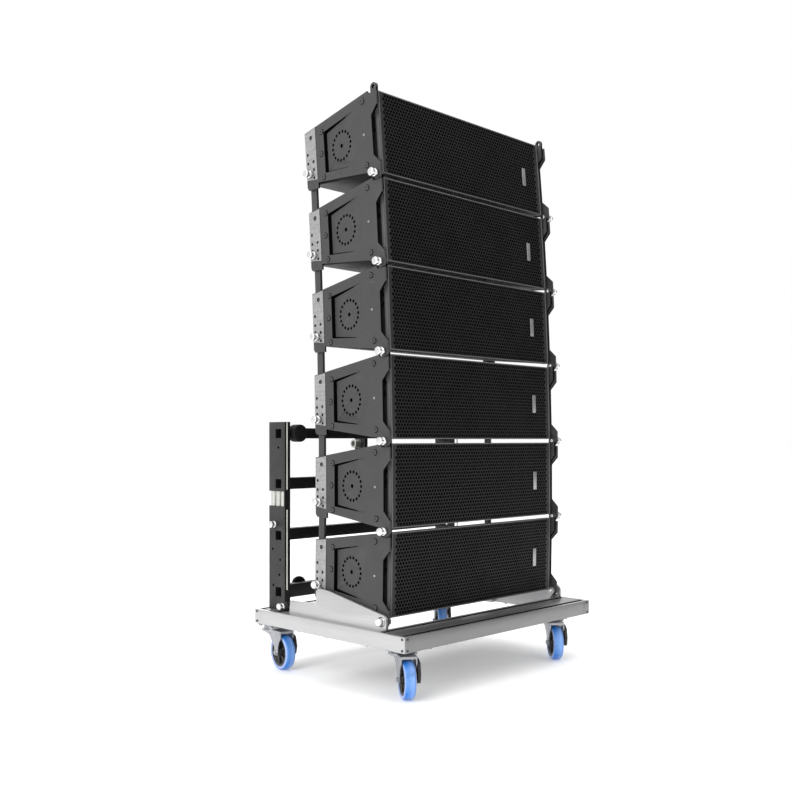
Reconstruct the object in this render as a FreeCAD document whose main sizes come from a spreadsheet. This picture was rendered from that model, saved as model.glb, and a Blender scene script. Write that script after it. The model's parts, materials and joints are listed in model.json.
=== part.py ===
import FreeCAD, Part
import os
import re

import Sketcher
from FreeCAD import Placement, Rotation, Vector

# Stacked line array speaker: six wedge cabinets on a wheeled dolly, with the flying frame
# stowed upright behind them. X is to the right, Y to the back, Z up, and the floor is Z = 0.
# A cabinet is drawn once, about its own front pin axis, and placed six times.

os.makedirs("parts", exist_ok=True)
doc = FreeCAD.newDocument("LineArray")

# ---------------------------------------------------------------- driving dimensions

SIZES = [
    # cabinet: height between pins, depth, and the wedge's front and rear edges
    ("cab_pitch", 230), ("cab_depth", 272), ("cab_half", 365), ("box_half", 343),
    ("front_low", 5), ("front_high", 225), ("rear_low", 44), ("rear_high", 186),
    ("box_wall", 15), ("baffle_thick", 18), ("grille_deep", 14), ("grille_sheet", 2),
    ("splay_rest", 1.2), ("splay_max", 5), ("lean_low", -1),
    # rigging plates, links, arms and pins
    ("plate_thick", 5), ("knuckle_rad", 14), ("notch_back", 8), ("notch_low", 51),
    ("notch_top", 156), ("notch_rise", 23), ("cradle_drop", 15.5),
    ("layer_gap", 0.6), ("link_thick", 8), ("eye_rad", 11), ("link_wide", 20),
    ("arm_wide", 22), ("arm_low", 128), ("pin_rad", 5), ("rear_pin_rad", 4),
    ("pin_play", 0.06), ("rear_pin_y", 252), ("rear_pin_z", 65), ("knob_rad", 10.5),
    ("knob_reach", 25), ("collar_rad", 7.5),
    ("recess_front", 75), ("recess_rear", 195), ("recess_deep", 9.5), ("label_thick", 1.2),
    # drivers
    ("woofer_x", 212), ("woofer_rad", 80), ("woofer_hole", 71), ("driver_z", 115),
    ("horn_half", 62), ("horn_high", 176), ("horn_hole", 50),
    # dolly
    ("deck_half", 400), ("deck_reach", 300), ("deck_top", 168), ("beam_high", 40),
    ("beam_deep", 107), ("beam_wall", 4), ("inset", 9), ("inset_deep", 1.5),
    ("rail_thick", 30), ("saddle_thick", 8),
    ("pin_low_y", -194), ("pin_low_z", 190),
    # casters
    ("wheel_rad", 50), ("wheel_wide", 30), ("tyre_thick", 10), ("front_caster_x", 322),
    ("front_caster_y", 217), ("rear_caster_x", 352), ("rear_caster_y", 268),
    ("caster_high", 128), ("caster_plate", 4), ("trail", 46),
    ("fork_wide", 44), ("fork_thick", 3.5), ("axle_rad", 6),
    ("brake_y", -18), ("brake_z", 91),
    ("heading_fl", 33), ("heading_fr", 40), ("heading_rl", 10), ("heading_rr", 40),
    # stowed flying frame
    ("frame_half", 365), ("post_thick", 20), ("post_deep", 71), ("post_front", 208),
    ("frame_high", 536), ("post_split", 296), ("barrel_high", 42), ("bar_thick", 26),
    ("bar_setback", 22), ("bumper_rad", 25), ("bumper_x", 314), ("low_bumper_x", 269),
]
sheet = doc.addObject("Spreadsheet::Sheet", "Sizes")
for row, (alias, size) in enumerate(SIZES, 1):
    sheet.set(f"A{row}", alias.replace("_", " "))
    sheet.set(f"B{row}", str(size))
    sheet.setAlias(f"B{row}", alias)
doc.recompute()
ALIASES = {alias for alias, size in SIZES}
MADE = []           # finished sub-parts, one STEP file each


def cells(text):
    """The expression with each driving dimension pointing at its cell."""
    return re.sub(r"[a-z]\w*", lambda m: "Sizes." + m.group()
                  if m.group() in ALIASES else m.group(), str(text))


def value(text):
    """The expression's present value."""
    number = sheet.evalExpression(cells(text))
    return float(getattr(number, "Value", number))


# ---------------------------------------------------------------- sketches and features

def body(name):
    return doc.addObject("PartDesign::Body", name)


def sketch(part, plane, lift="0"):
    """A sketch on one of the body's origin planes, lifted along the plane's normal."""
    flat = part.newObject("Sketcher::SketchObject", "Sketch")
    support = [f for f in part.Origin.OriginFeatures if f.Role == plane + "_Plane"][0]
    flat.AttachmentSupport = [(support, "")]
    flat.MapMode = "FlatFace"
    flat.AttachmentOffset = Placement(Vector(0, 0, value(lift)), Rotation())
    flat.setExpression(".AttachmentOffset.Base.z", cells(lift))
    flat.Visibility = False
    return flat


def fix(flat, geometry, point, across, up):
    """Hold a point of the sketch at (across, up), both bound to the sheet."""
    for kind, axis, text in (("DistanceX", -2, across), ("DistanceY", -1, up)):
        if abs(value(text)) < 1e-9:
            flat.addConstraint(Sketcher.Constraint("PointOnObject", geometry, point, axis))
            continue
        number = flat.addConstraint(
            Sketcher.Constraint(kind, -1, 1, geometry, point, value(text)))
        flat.setExpression(f"Constraints[{number}]", cells(text))


def outline(flat, points):
    """A closed outline of straight sides through points of (across, up)."""
    spots = [Vector(value(a), value(b), 0) for a, b in points]
    first = flat.GeometryCount
    count = len(points)
    for i in range(count):
        flat.addGeometry(Part.LineSegment(spots[i], spots[(i + 1) % count]))
    for i in range(count):
        flat.addConstraint(Sketcher.Constraint(
            "Coincident", first + i, 2, first + (i + 1) % count, 1))
        fix(flat, first + i, 1, *points[i])
    return flat


def block(flat, left, low, right, top):
    """A rectangle from (left, low) to (right, top)."""
    return outline(flat, [(left, low), (right, low), (right, top), (left, top)])


def ring(flat, across, up, radius):
    """A circle about (across, up)."""
    circle = flat.addGeometry(Part.Circle(
        Vector(value(across), value(up), 0), Vector(0, 0, 1), value(radius)))
    fix(flat, circle, 3, across, up)
    number = flat.addConstraint(Sketcher.Constraint("Radius", circle, value(radius)))
    flat.setExpression(f"Constraints[{number}]", cells(radius))
    return flat


def pad(part, flat, length, kind="Pad", reverse=False):
    """Grow the sketch along its plane's normal, or cut it with kind="Pocket"."""
    feature = part.newObject("PartDesign::" + kind, kind)
    feature.Profile = flat
    feature.Length = value(length)
    feature.setExpression("Length", cells(length))
    feature.Reversed = reverse
    part.Tip = feature
    return feature


def slab(part, plane, low, high, draw, *args):
    """A pad of draw's outline between two heights along the plane's normal."""
    flat = sketch(part, plane, low)
    draw(flat, *args)
    return pad(part, flat, f"({high}) - ({low})")


def cut(part, plane, low, high, draw, *args):
    """A pocket of draw's outline between two heights along the plane's normal."""
    flat = sketch(part, plane, low)
    draw(flat, *args)
    return pad(part, flat, f"({high}) - ({low})", "Pocket", True)


def spin(part, plane, points, axis="V_Axis", lift="0"):
    """Turn an outline once about the sketch's upright or level axis."""
    flat = sketch(part, plane, lift)
    outline(flat, points)
    feature = part.newObject("PartDesign::Revolution", "Revolution")
    feature.Profile = flat
    feature.ReferenceAxis = (flat, [axis])
    feature.Angle = 360
    part.Tip = feature
    return feature


def loft(part, kind, sections):
    """Blend from one sketched section to the next; kind is Additive or Subtractive."""
    feature = part.newObject(f"PartDesign::{kind}Loft", kind + "Loft")
    feature.Profile = sections[0]
    feature.Sections = sections[1:]
    feature.Ruled = True
    part.Tip = feature
    return feature


def mirror(source, name):
    """The same piece on the other side of the YZ plane."""
    other = doc.addObject("Part::Mirroring", name)
    other.Source = source
    other.Normal = Vector(1, 0, 0)
    return other


def place(thing, x, y, z, turn="0", axis="0; 0; 1"):
    """Bind a placement: turned about axis, then moved to (x, y, z)."""
    text = f"placement(vector({x}; {y}; {z}); rotation(vector({axis}); {turn}))"
    thing.setExpression("Placement", cells(text))
    return thing


def copy_at(source, name, x, y, z, turn="0", axis="0; 0; 1"):
    """One more of a piece, somewhere else."""
    other = doc.addObject("Part::Compound", name)
    other.Links = [source]
    return place(other, x, y, z, turn, axis)


def node(name, pieces):
    """A finished sub-part: a single piece under its own name, or several together."""
    if len(pieces) == 1:
        made = pieces[0]
    else:
        made = doc.addObject("Part::Compound", name)
        made.Links = pieces
    made.Label = name
    MADE.append(made)
    return made


# ---------------------------------------------------------------- cabinet, about its pin axis

def edge_low(y):
    """Height of the wedge's underside at depth y."""
    return f"(front_low + (rear_low - front_low) * ({y}) / cab_depth)"


def edge_high(y):
    """Height of the wedge's top at depth y."""
    return f"(front_high + (rear_high - front_high) * ({y}) / cab_depth)"


def wedge(flat, front, rear, inset):
    """The cabinet's side outline between two depths, pulled in by inset."""
    return outline(flat, [
        (front, f"{edge_low(front)} + {inset}"), (rear, f"{edge_low(rear)} + {inset}"),
        (rear, f"{edge_high(rear)} - ({inset})"), (front, f"{edge_high(front)} - ({inset})")])


def enclosure():
    """Wooden box: hollow wedge, baffle with driver holes, connector dish at the back."""
    part = body("Enclosure")
    slab(part, "YZ", "-box_half", "box_half", wedge, "grille_deep", "cab_depth", "0")
    cut(part, "YZ", "box_wall - box_half", "box_half - box_wall",
        wedge, "grille_deep + baffle_thick", "cab_depth - box_wall", "box_wall")
    holes = sketch(part, "XZ", "-grille_deep - baffle_thick - 2")
    for side in ("-woofer_x", "woofer_x"):
        ring(holes, side, "driver_z", "woofer_hole")
    block(holes, "-horn_hole", "driver_z - horn_high / 2 + 14",
          "horn_hole", "driver_z + horn_high / 2 - 14")
    pad(part, holes, "baffle_thick + 4", "Pocket", True)
    cut(part, "XZ", "-cab_depth - 1", "5 - cab_depth", block, "-75", "75", "75", "155")
    return part


def grille():
    """Folded steel front: a shallow pan with its rim turned back to the enclosure."""
    part = body("Grille")
    slab(part, "XZ", "-grille_deep", "0", block,
         "-box_half", edge_low("0") + " + 0.5", "box_half", edge_high("0") + " - 0.5")
    cut(part, "XZ", "-grille_deep - 1", "-grille_sheet", block,
        "grille_sheet - box_half", "front_low + 0.5 + grille_sheet",
        "box_half - grille_sheet", "front_high - 0.5 - grille_sheet")
    return part


def plate():
    """Right-hand rigging plate, outside the box: knuckles, notch, ramped recess, spacers."""
    part = body("Plate")
    inner, outer = "cab_half - plate_thick", "cab_half"
    reach = "-knuckle_rad"
    slab(part, "YZ", inner, outer, outline, [
        (reach, "0"), ("knuckle_rad", "0"), ("knuckle_rad", edge_low("knuckle_rad")),
        ("226", edge_low("226")), ("226", "22"), ("266", "24"), ("cab_depth", "32"),
        ("cab_depth", edge_high("cab_depth")),
        ("knuckle_rad + 4", edge_high("knuckle_rad + 4")),
        ("knuckle_rad", "cab_pitch - cradle_drop"), (reach, "cab_pitch - cradle_drop"),
        (reach, "notch_top + notch_rise"), ("notch_back", "notch_top"),
        ("notch_back", "notch_low"), (reach, "notch_low - notch_rise")])
    slab(part, "YZ", inner, outer, ring, "0", "0", "knuckle_rad")
    slab(part, "YZ", "box_half", inner, block, "118", "47", "204", "178")
    slab(part, "YZ", "box_half", inner, block, "40", "60", "66", "170")
    # recess: level with the face at the front, deepest at the rear
    front = block(sketch(part, "XZ", "-recess_front"), "cab_half - 0.2", "43",
                  "cab_half + 1", "188")
    rear = block(sketch(part, "XZ", "-recess_rear"), "cab_half - recess_deep", "55",
                 "cab_half + 1", "168")
    loft(part, "Subtractive", [front, rear])
    holes = sketch(part, "YZ", "box_half + 2")
    count = 18
    for k in range(count):
        ring(holes, f"130 + 38 * cos({k * 360 / count}deg)",
             f"111.5 + 38 * sin({k * 360 / count}deg)", "3.3")
    ring(holes, "130", "111.5", "4.5")
    ring(holes, "0", "0", "pin_rad + pin_play")
    ring(holes, "rear_pin_y", "rear_pin_z", "rear_pin_rad + pin_play")
    pad(part, holes, "cab_half - box_half", "Pocket", True)
    return part


def label_plate():
    """Pale index plate on the rear of the rigging plate, drilled for the splay positions."""
    part = body("LabelPlate")
    face = sketch(part, "YZ", "cab_half")
    outline(face, [("227", "46"), ("cab_depth - 1", "52"), ("cab_depth - 1", "184"),
                   ("227", "190")])
    for y, z in ((262, 123), (262, 98), (262, 79), (240, 99), (240, 77), (240, 54)):
        ring(face, y, z, "2.6")
    ring(face, "rear_pin_y", "rear_pin_z", "collar_rad + 0.3")
    ring(face, "246", "167", "5")
    pad(part, face, "label_thick")
    return part


def link():
    """Front link: its eye carries the cabinet above."""
    part = body("Link")
    near = "cab_half - plate_thick - layer_gap - link_thick"
    far = "cab_half - plate_thick - layer_gap"
    slab(part, "YZ", near, far, outline, [
        ("-eye_rad + 1", "cab_pitch"), ("-eye_rad + 1", "186"), ("12", "160"), ("12", "110"),
        ("12 + link_wide", "110"), ("12 + link_wide", "165"), ("eye_rad", "195"),
        ("eye_rad", "cab_pitch")])
    slab(part, "YZ", near, far, ring, "0", "cab_pitch", "eye_rad")
    for z in ("126", "152"):
        slab(part, "YZ", "box_half", "cab_half - plate_thick", ring,
             "12 + link_wide / 2", z, "7")
    cut(part, "YZ", near + " - 1", far + " + 1", ring, "0", "cab_pitch",
        "pin_rad + pin_play")
    return part


def arm():
    """Rear splay arm: the pin of the cabinet above travels in its slot."""
    part = body("Arm")
    near = "cab_half - plate_thick - layer_gap - link_thick"
    far = "cab_half - plate_thick - layer_gap"
    # the rear pin's place, in this cabinet's frame, at no splay and at full splay
    low_y = "(rear_pin_y * cos(splay_max * 1deg) + rear_pin_z * sin(splay_max * 1deg))"
    low_z = ("(cab_pitch + rear_pin_z * cos(splay_max * 1deg)"
             " - rear_pin_y * sin(splay_max * 1deg))")
    high_z = "(cab_pitch + rear_pin_z)"
    middle = f"((rear_pin_y + {low_y}) / 2)"
    slot = f"(rear_pin_rad + 0.4 + ({low_y} - rear_pin_y) / 2)"
    slab(part, "YZ", near, far, block, f"{middle} - arm_wide / 2", "arm_low",
         f"{middle} + arm_wide / 2", f"{high_z} + 1.5 + {slot} + 5")
    for z in ("arm_low + 12", "arm_low + 44"):
        slab(part, "YZ", "box_half", "cab_half - plate_thick", ring, middle, z, "7")
    cut(part, "YZ", near + " - 1", far + " + 1", block, f"{middle} - {slot}",
        f"{low_z} - 1.5", f"{middle} + {slot}", f"{high_z} + 1.5")
    for z in (f"{low_z} - 1.5", f"{high_z} + 1.5"):
        cut(part, "YZ", near + " - 1", far + " + 1", ring, middle, z, slot)
    return part


def plate_screws():
    """Button-head screws through the rigging plate."""
    part = body("PlateScrews")
    face = sketch(part, "YZ", "cab_half")
    for y, z in ((38, 201), (34, 30), (202, 171), (207, 111), (202, 45)):
        ring(face, y, z, "6.5")
    ring(face, "38", "112", "3.5")
    pad(part, face, "3")
    return part


def woofer():
    """Cone driver on the baffle: basket flange, surround, cone, magnet."""
    part = body("Woofer")
    face = "grille_deep"
    spin(part, "XY", [
        ("0", f"{face} + 26"), ("22", f"{face} + 22"), ("26", f"{face} + 24"),
        ("58", f"{face} + 2"), ("62", f"{face} - 5"), ("68", f"{face} - 5"),
        ("72", f"{face} - 4"), ("woofer_rad", f"{face} - 4"), ("woofer_rad", face),
        ("woofer_hole - 1", face), ("woofer_hole - 3", f"{face} + 26"),
        ("52", f"{face} + 72"), ("52", f"{face} + 98"), ("0", f"{face} + 98")])
    return part


def horn():
    """Tall waveguide for the high frequencies, with two compression drivers behind it."""
    part = body("Horn")
    low, high = "driver_z - horn_high / 2", "driver_z + horn_high / 2"
    slab(part, "XZ", "-grille_deep", "4 - grille_deep", block,
         "-horn_half", low, "horn_half", high)
    slab(part, "XZ", "-grille_deep - 70", "-grille_deep", block,
         "0.6 - horn_hole", f"{low} + 14.6", "horn_hole - 0.6", f"{high} - 14.6")
    mouth = block(sketch(part, "XZ", "5 - grille_deep"), "-horn_half + 12", f"{low} + 8",
                  "horn_half - 12", f"{high} - 8")
    throat = block(sketch(part, "XZ", "-grille_deep - 62"), "-7", f"{low} + 24",
                   "7", f"{high} - 24")
    loft(part, "Subtractive", [mouth, throat])
    for z in ("driver_z - 36", "driver_z + 36"):
        slab(part, "XZ", "-grille_deep - 118", "-grille_deep - 70", ring, "0", z, "34")
    return part


def pull_pin(name, radius, y, z):
    """Captive pull pin on the right: shaft through plate and link, collar, grip, cap."""
    part = body(name)
    spin(part, "XY", [
        ("cab_half - plate_thick - layer_gap - link_thick - 4", "0"),
        ("cab_half - plate_thick - layer_gap - link_thick - 4", f"{radius} - 1"),
        ("cab_half - plate_thick - layer_gap - link_thick - 3", radius),
        ("cab_half + label_thick + 0.3", radius),
        ("cab_half + label_thick + 0.3", "collar_rad"),
        ("cab_half + 6", "collar_rad"), ("cab_half + 7", "knob_rad"),
        ("cab_half + 11", "knob_rad"), ("cab_half + 12", "knob_rad - 2.5"),
        ("cab_half + 16", "knob_rad - 2.5"), ("cab_half + 17", "knob_rad"),
        ("cab_half + knob_reach - 2", "knob_rad"),
        ("cab_half + knob_reach", "knob_rad - 2"), ("cab_half + knob_reach", "0")],
        axis="H_Axis")
    return copy_at(part, name + "Set", "0", y, z)


def both_sides(name, right):
    """The pieces of the right side and their mirror images together."""
    pair = doc.addObject("Part::Compound", name)
    pair.Links = right + [mirror(piece, name + piece.Name) for piece in right]
    return pair


def cabinets():
    """Draw every piece of a cabinet once, then place all of them in each cabinet."""
    right = [plate(), label_plate(), plate_screws(), link()]
    sides = both_sides("SidePlates", right)
    sides_with_arms = both_sides("SidePlatesWithArms", right + [arm()])
    cone = woofer()
    cones = [copy_at(cone, "Cone", x, "0", "driver_z") for x in ("-woofer_x", "woofer_x")]
    drive = doc.addObject("Part::Compound", "Drivers")
    drive.Links = cones + [horn()]
    pins = doc.addObject("Part::Compound", "Pins")
    pins.Links = [pull_pin("FrontPin", "pin_rad", "0", "0"),
                  pull_pin("RearPin", "rear_pin_rad", "rear_pin_y", "rear_pin_z")]
    pieces = {"enclosure": enclosure(), "grille": grille(), "side_plates": sides_with_arms,
              "drivers": drive, "pins_left": mirror(pins, "PinsLeft"), "pins_right": pins}
    bottom = 6
    for number in range(bottom, 0, -1):
        # each cabinet stands on the pin axis of the one below and leans a little further
        leans = [f"(lean_low + {step} * splay_rest) * 1deg" for step in range(7 - number)]
        y = " + ".join(["pin_low_y"] + [f"cab_pitch * sin({lean})" for lean in leans[:-1]])
        z = " + ".join(["pin_low_z"] + [f"cab_pitch * cos({lean})" for lean in leans[:-1]])
        if number == 1:
            pieces["side_plates"] = sides       # nothing stands on the top one
        for name, piece in pieces.items():
            label = f"cabinet_{number}_{name}"
            node(label, [copy_at(piece, label, "0", y, z, leans[-1], "-1; 0; 0")])


# ---------------------------------------------------------------- dolly

def side_rail():
    """Right-hand rail: bar, raised saddle plate, and the lugs that hold the lowest cabinet."""
    part = body("SideRail")
    top, low = "deck_top", "deck_top - beam_high"
    y, z = "pin_low_y", "pin_low_z"
    near = "cab_half - plate_thick - layer_gap - link_thick"
    far = "cab_half - plate_thick - layer_gap"
    # the lowest cabinet's rear pin, with that cabinet's lean
    rear_y = f"({y} + rear_pin_y * cos(lean_low * 1deg) + rear_pin_z * sin(lean_low * 1deg))"
    rear_z = f"({z} + rear_pin_z * cos(lean_low * 1deg) - rear_pin_y * sin(lean_low * 1deg))"
    face = "deck_half - rail_thick"
    slab(part, "YZ", face, "deck_half", block, "-deck_reach", low, "deck_reach", top)
    slab(part, "YZ", face, f"{face} + saddle_thick", outline, [
        (f"{y} - 19", f"{top} - 1"), ("172", f"{top} - 1"), ("168", f"{top} + 34"),
        ("58", f"{top} + 40"), ("58", f"{top} + 72"), ("50", f"{top} + 82"),
        ("6", f"{top} + 79"), (y, f"{z} + 19"), (f"{y} - 19", z)])
    slab(part, "YZ", face, f"{face} + saddle_thick", ring, y, z, "19")
    # the inset of each beam's cover runs on over the rail
    for front in ("-deck_reach", "deck_reach - beam_deep"):
        cut(part, "YZ", f"{face} - 1", "deck_half - inset", block, f"{front} + inset",
            f"{top} - inset_deep", f"{front} + beam_deep - inset", f"{top} + 0.5")
    # feet that reach in from the rail, and a lug standing on each
    slab(part, "YZ", near, "deck_half - rail_thick", block,
         "beam_deep - deck_reach + 0.5", low, "beam_deep - deck_reach + 26", f"{low} + 14")
    slab(part, "YZ", near, "deck_half - rail_thick", block,
         f"{rear_y} - 18", low, f"{rear_y} + 18", f"{low} + 14")
    slab(part, "YZ", near, far, outline, [
        ("beam_deep - deck_reach + 0.5", f"{low} + 14"),
        ("beam_deep - deck_reach + 26", f"{low} + 14"),
        ("beam_deep - deck_reach + 26", top), (f"{y} + eye_rad", f"{z} - 2"),
        (f"{y} - eye_rad + 1", f"{z} - 2"), ("beam_deep - deck_reach + 0.5", f"{top} + 2")])
    slab(part, "YZ", near, far, ring, y, z, "eye_rad")
    slab(part, "YZ", near, far, outline, [
        (f"{rear_y} - 16", f"{low} + 14"), (f"{rear_y} + 16", f"{low} + 14"),
        (f"{rear_y} + 11", rear_z), (f"{rear_y} - 11", rear_z)])
    slab(part, "YZ", near, far, ring, rear_y, rear_z, "11")
    cut(part, "YZ", near + " - 1", far + " + 1", ring, y, z, "pin_rad + pin_play")
    cut(part, "YZ", near + " - 1", far + " + 1", ring, rear_y, rear_z,
        "rear_pin_rad + pin_play")
    # reach-through hole for the front pull pin
    cut(part, "YZ", f"{face} - 1", f"{face} + saddle_thick + 1", ring, y, z,
        "knob_rad + 2.5")
    return part


def beam(name, front):
    """Cross beam: hollow section with a shallow inset cover strip along its top."""
    part = body(name)
    half = "(deck_half - rail_thick)"
    slab(part, "YZ", f"-{half}", half, block, front, "deck_top - beam_high",
         f"{front} + beam_deep", "deck_top")
    cut(part, "YZ", f"-{half} - 1", f"{half} + 1", block, f"{front} + beam_wall",
        "deck_top - beam_high + beam_wall", f"{front} + beam_deep - beam_wall",
        "deck_top - beam_wall - 2")
    cut(part, "YZ", f"-{half} - 1", f"{half} + 1", block, f"{front} + inset",
        "deck_top - inset_deep", f"{front} + beam_deep - inset", "deck_top + 1")
    return part


def rear_beam():
    """Cross beam with two lugs that the feet of the flying frame are pinned to."""
    part = beam("RearBeam", "(deck_reach - beam_deep)")
    far = "(frame_half - post_thick - layer_gap)"
    for low, high in ((f"{far} - 13", far), (f"-{far}", f"13 - {far}")):
        slab(part, "YZ", low, high, block, "post_front - 12", "deck_top - 2",
             "post_front + 12", "deck_top + 14")
        slab(part, "YZ", low, high, ring, "post_front", "deck_top + 14", "12")
        cut(part, "YZ", f"{low} - 1", f"{high} + 1", ring, "post_front", "deck_top + 14",
            "pin_rad + pin_play")
    return part


def dolly_screws():
    """Screws at the deck's corners, and the bolt heads along its underside."""
    part = body("DeckScrews")
    rows = ("deck_top - 6", "deck_top - beam_high + 6")
    for low, high in (("deck_half", "deck_half + 1.5"), ("-deck_half - 1.5", "-deck_half")):
        flat = sketch(part, "YZ", low)
        for y in ("9 - deck_reach", "deck_reach - 9"):
            for z in rows:
                ring(flat, y, z, "3.5")
        pad(part, flat, f"({high}) - ({low})")
    for low, high in (("deck_reach", "deck_reach + 1.5"), ("-deck_reach - 1.5", "-deck_reach")):
        flat = sketch(part, "XZ", low)
        for x in ("10 - deck_half", "deck_half - 10"):
            for z in rows:
                ring(flat, x, z, "3.5")
        pad(part, flat, f"({high}) - ({low})")
    under = sketch(part, "XY", "deck_top - beam_high - 5")
    for side in (-1, 1):
        for y in (-225, -152, 6, 120):
            ring(under, f"{side} * (deck_half - 15)", y, "5")
        ring(under, 295 * side, "12 - deck_reach", "5")
    pad(part, under, "5")
    return part


def dolly():
    rail = side_rail()
    node("dolly_side_rail_right", [rail])
    node("dolly_side_rail_left", [mirror(rail, "dolly_side_rail_left")])
    node("dolly_front_beam", [beam("FrontBeam", "-deck_reach")])
    node("dolly_rear_beam", [rear_beam()])
    node("dolly_screws", [dolly_screws()])


# ---------------------------------------------------------------- casters, about the swivel axis

def caster_plate():
    """Top plate bolted under a beam."""
    part = body("CasterPlate")
    top = "caster_high"
    slab(part, "XY", f"{top} - caster_plate", top, block, "-42", "-32", "42", "32")
    heads = sketch(part, "XY", f"{top} - caster_plate - 5")
    for x in ("-34", "34"):
        for y in ("-24", "24"):
            ring(heads, x, y, "5.5")
    pad(part, heads, "5")
    return part


def fork():
    """Swivel head and two slim legs; the wheel trails towards -Y."""
    part = body("Fork")
    top = "(caster_high - caster_plate - 0.4)"
    arch = "(wheel_rad * 2 + 5)"
    slab(part, "XY", f"{top} - 12", top, ring, "0", "0", "31")
    slab(part, "XY", arch, f"{top} - 12", ring, "0", "0", "38")
    slab(part, "XY", arch, f"{top} - 12", block,
         "-fork_wide / 2", "-trail - 24", "fork_wide / 2", "20")
    for low, high in (("-fork_wide / 2", "fork_thick - fork_wide / 2"),
                      ("fork_wide / 2 - fork_thick", "fork_wide / 2")):
        slab(part, "YZ", low, high, outline, [
            ("-trail - 8", "wheel_rad - 4"), ("-trail - 4", "wheel_rad - 9"),
            ("4 - trail", "wheel_rad - 9"), ("8 - trail", "wheel_rad - 4"),
            ("11 - trail", "wheel_rad + 14"), ("-6", f"{arch} - 12"), ("20", f"{arch} - 6"),
            ("20", arch), ("-trail - 24", arch), ("-trail - 24", f"{arch} - 13"),
            ("-trail - 14", f"{arch} - 27"), ("-trail - 9", f"{arch} - 42")])
    slab(part, "YZ", "-fork_wide / 2 - 5", "fork_wide / 2 + 0.2", ring,
         "-trail", "wheel_rad", "axle_rad")
    slab(part, "YZ", "fork_wide / 2 - 1", "fork_wide / 2 + 11", ring,
         "brake_y", "brake_z", "3")
    return part


def wheel():
    """Tyre and core about the axle, which is level along X."""
    tyre = body("Tyre")
    spin(tyre, "XY", [
        ("-wheel_wide / 2 + 2", "wheel_rad - tyre_thick"),
        ("wheel_wide / 2 - 2", "wheel_rad - tyre_thick"),
        ("wheel_wide / 2", "wheel_rad - 7"), ("wheel_wide / 2 - 3", "wheel_rad - 2"),
        ("wheel_wide / 2 - 9", "wheel_rad"), ("9 - wheel_wide / 2", "wheel_rad"),
        ("3 - wheel_wide / 2", "wheel_rad - 2"), ("-wheel_wide / 2", "wheel_rad - 7")],
        axis="H_Axis")
    core = body("WheelCore")
    rim = "wheel_rad - tyre_thick"
    spin(core, "XY", [
        ("-17.5", "axle_rad + 0.1"), ("17.5", "axle_rad + 0.1"), ("17.5", "13"), ("8", "15"),
        ("8", "28"), ("wheel_wide / 2 - 2", "31"), ("wheel_wide / 2 - 2", rim),
        ("2 - wheel_wide / 2", rim), ("2 - wheel_wide / 2", "31"), ("-8", "28"),
        ("-8", "15"), ("-17.5", "13")], axis="H_Axis")
    both = doc.addObject("Part::Compound", "Wheel")
    both.Links = [tyre, core]
    return both


def brake():
    """Foot lever beside the right leg, hinged on a cross pin and hanging behind the axle."""
    part = body("Brake")
    near = "(fork_wide / 2 + 0.6)"
    slab(part, "YZ", near, f"{near} + 8", outline, [
        ("brake_y + 12", "brake_z + 2"), ("brake_y + 7", "brake_z + 9"),
        ("brake_y - 32", "brake_z + 11"), ("brake_y - 50", "brake_z + 2"),
        ("brake_y - 58", "brake_z - 24"), ("brake_y - 52", "brake_z - 46"),
        ("brake_y - 44", "brake_z - 49"), ("brake_y - 38", "brake_z - 31"),
        ("brake_y - 34", "brake_z - 15"), ("brake_y - 18", "brake_z - 7"),
        ("brake_y + 5", "brake_z - 7")])
    cut(part, "YZ", near + " - 1", f"{near} + 14", ring, "brake_y", "brake_z",
        "3 + pin_play")
    return part


def casters():
    """Top plates, forks, wheels and brakes at the deck's four corners."""
    top, legs, round_, lever = caster_plate(), fork(), wheel(), brake()
    corners = {"fl": (-1, -1), "fr": (1, -1), "rl": (-1, 1), "rr": (1, 1)}
    plates = []
    for corner, (across, along) in corners.items():
        end = "front" if along < 0 else "rear"
        x, y = f"{across} * {end}_caster_x", f"{along} * {end}_caster_y"
        turn = f"-heading_{corner} * 1deg"
        plates.append(copy_at(top, "TopPlate", x, y, "0"))
        node(f"fork_{corner}", [copy_at(legs, f"fork_{corner}", x, y, "0", turn)])
        node(f"wheel_{corner}", [copy_at(
            round_, f"wheel_{corner}", f"{x} - trail * sin({turn[1:]})",
            f"{y} - trail * cos({turn[1:]})", "wheel_rad", turn)])
        node(f"brake_{corner}", [copy_at(lever, f"brake_{corner}", x, y, "0", turn)])
    node("caster_top_plates", plates)


# ---------------------------------------------------------------- flying frame, stowed upright

def upright():
    """Right-hand post in two lengths, joined by three barrels, with a rounded foot."""
    part = body("Upright")
    near, far = "frame_half - post_thick", "frame_half"
    front, back = "post_front", "post_front + post_deep"
    split = "deck_top + post_split"
    slab(part, "YZ", near, far, block, front, "deck_top + 0.5", back, split)
    slab(part, "YZ", near, far, block, front, f"{split} + barrel_high", back,
         "deck_top + frame_high")
    for step in range(3):
        slab(part, "XY", split, f"{split} + barrel_high", ring, "frame_half - post_thick / 2",
             f"post_front + 14 + {step * 22.5}", "9.5")
    slab(part, "YZ", near, far, block, front, f"{split} - 1", f"{front} + 5",
         f"{split} + barrel_high + 1")
    slab(part, "YZ", near, far, ring, "post_front", "deck_top + 14", "13")
    holes = sketch(part, "YZ", near + " - 1")
    for z in (51, 212, 360, 503):
        block(holes, "post_front + 16", f"deck_top + {z - 13}", "post_front + 42",
              f"deck_top + {z + 13}")
    for y, z in ((55, 172), (21, 143), (24, 100), (52, 68), (29, 463)):
        ring(holes, f"post_front + {y}", f"deck_top + {z}", "4")
    ring(holes, "post_front", "deck_top + 14", "pin_rad + pin_play")
    ring(holes, "post_front + 37", "deck_top + 244", "pin_rad + pin_play")
    pad(part, holes, "post_thick + 2", "Pocket", True)
    return part


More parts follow.
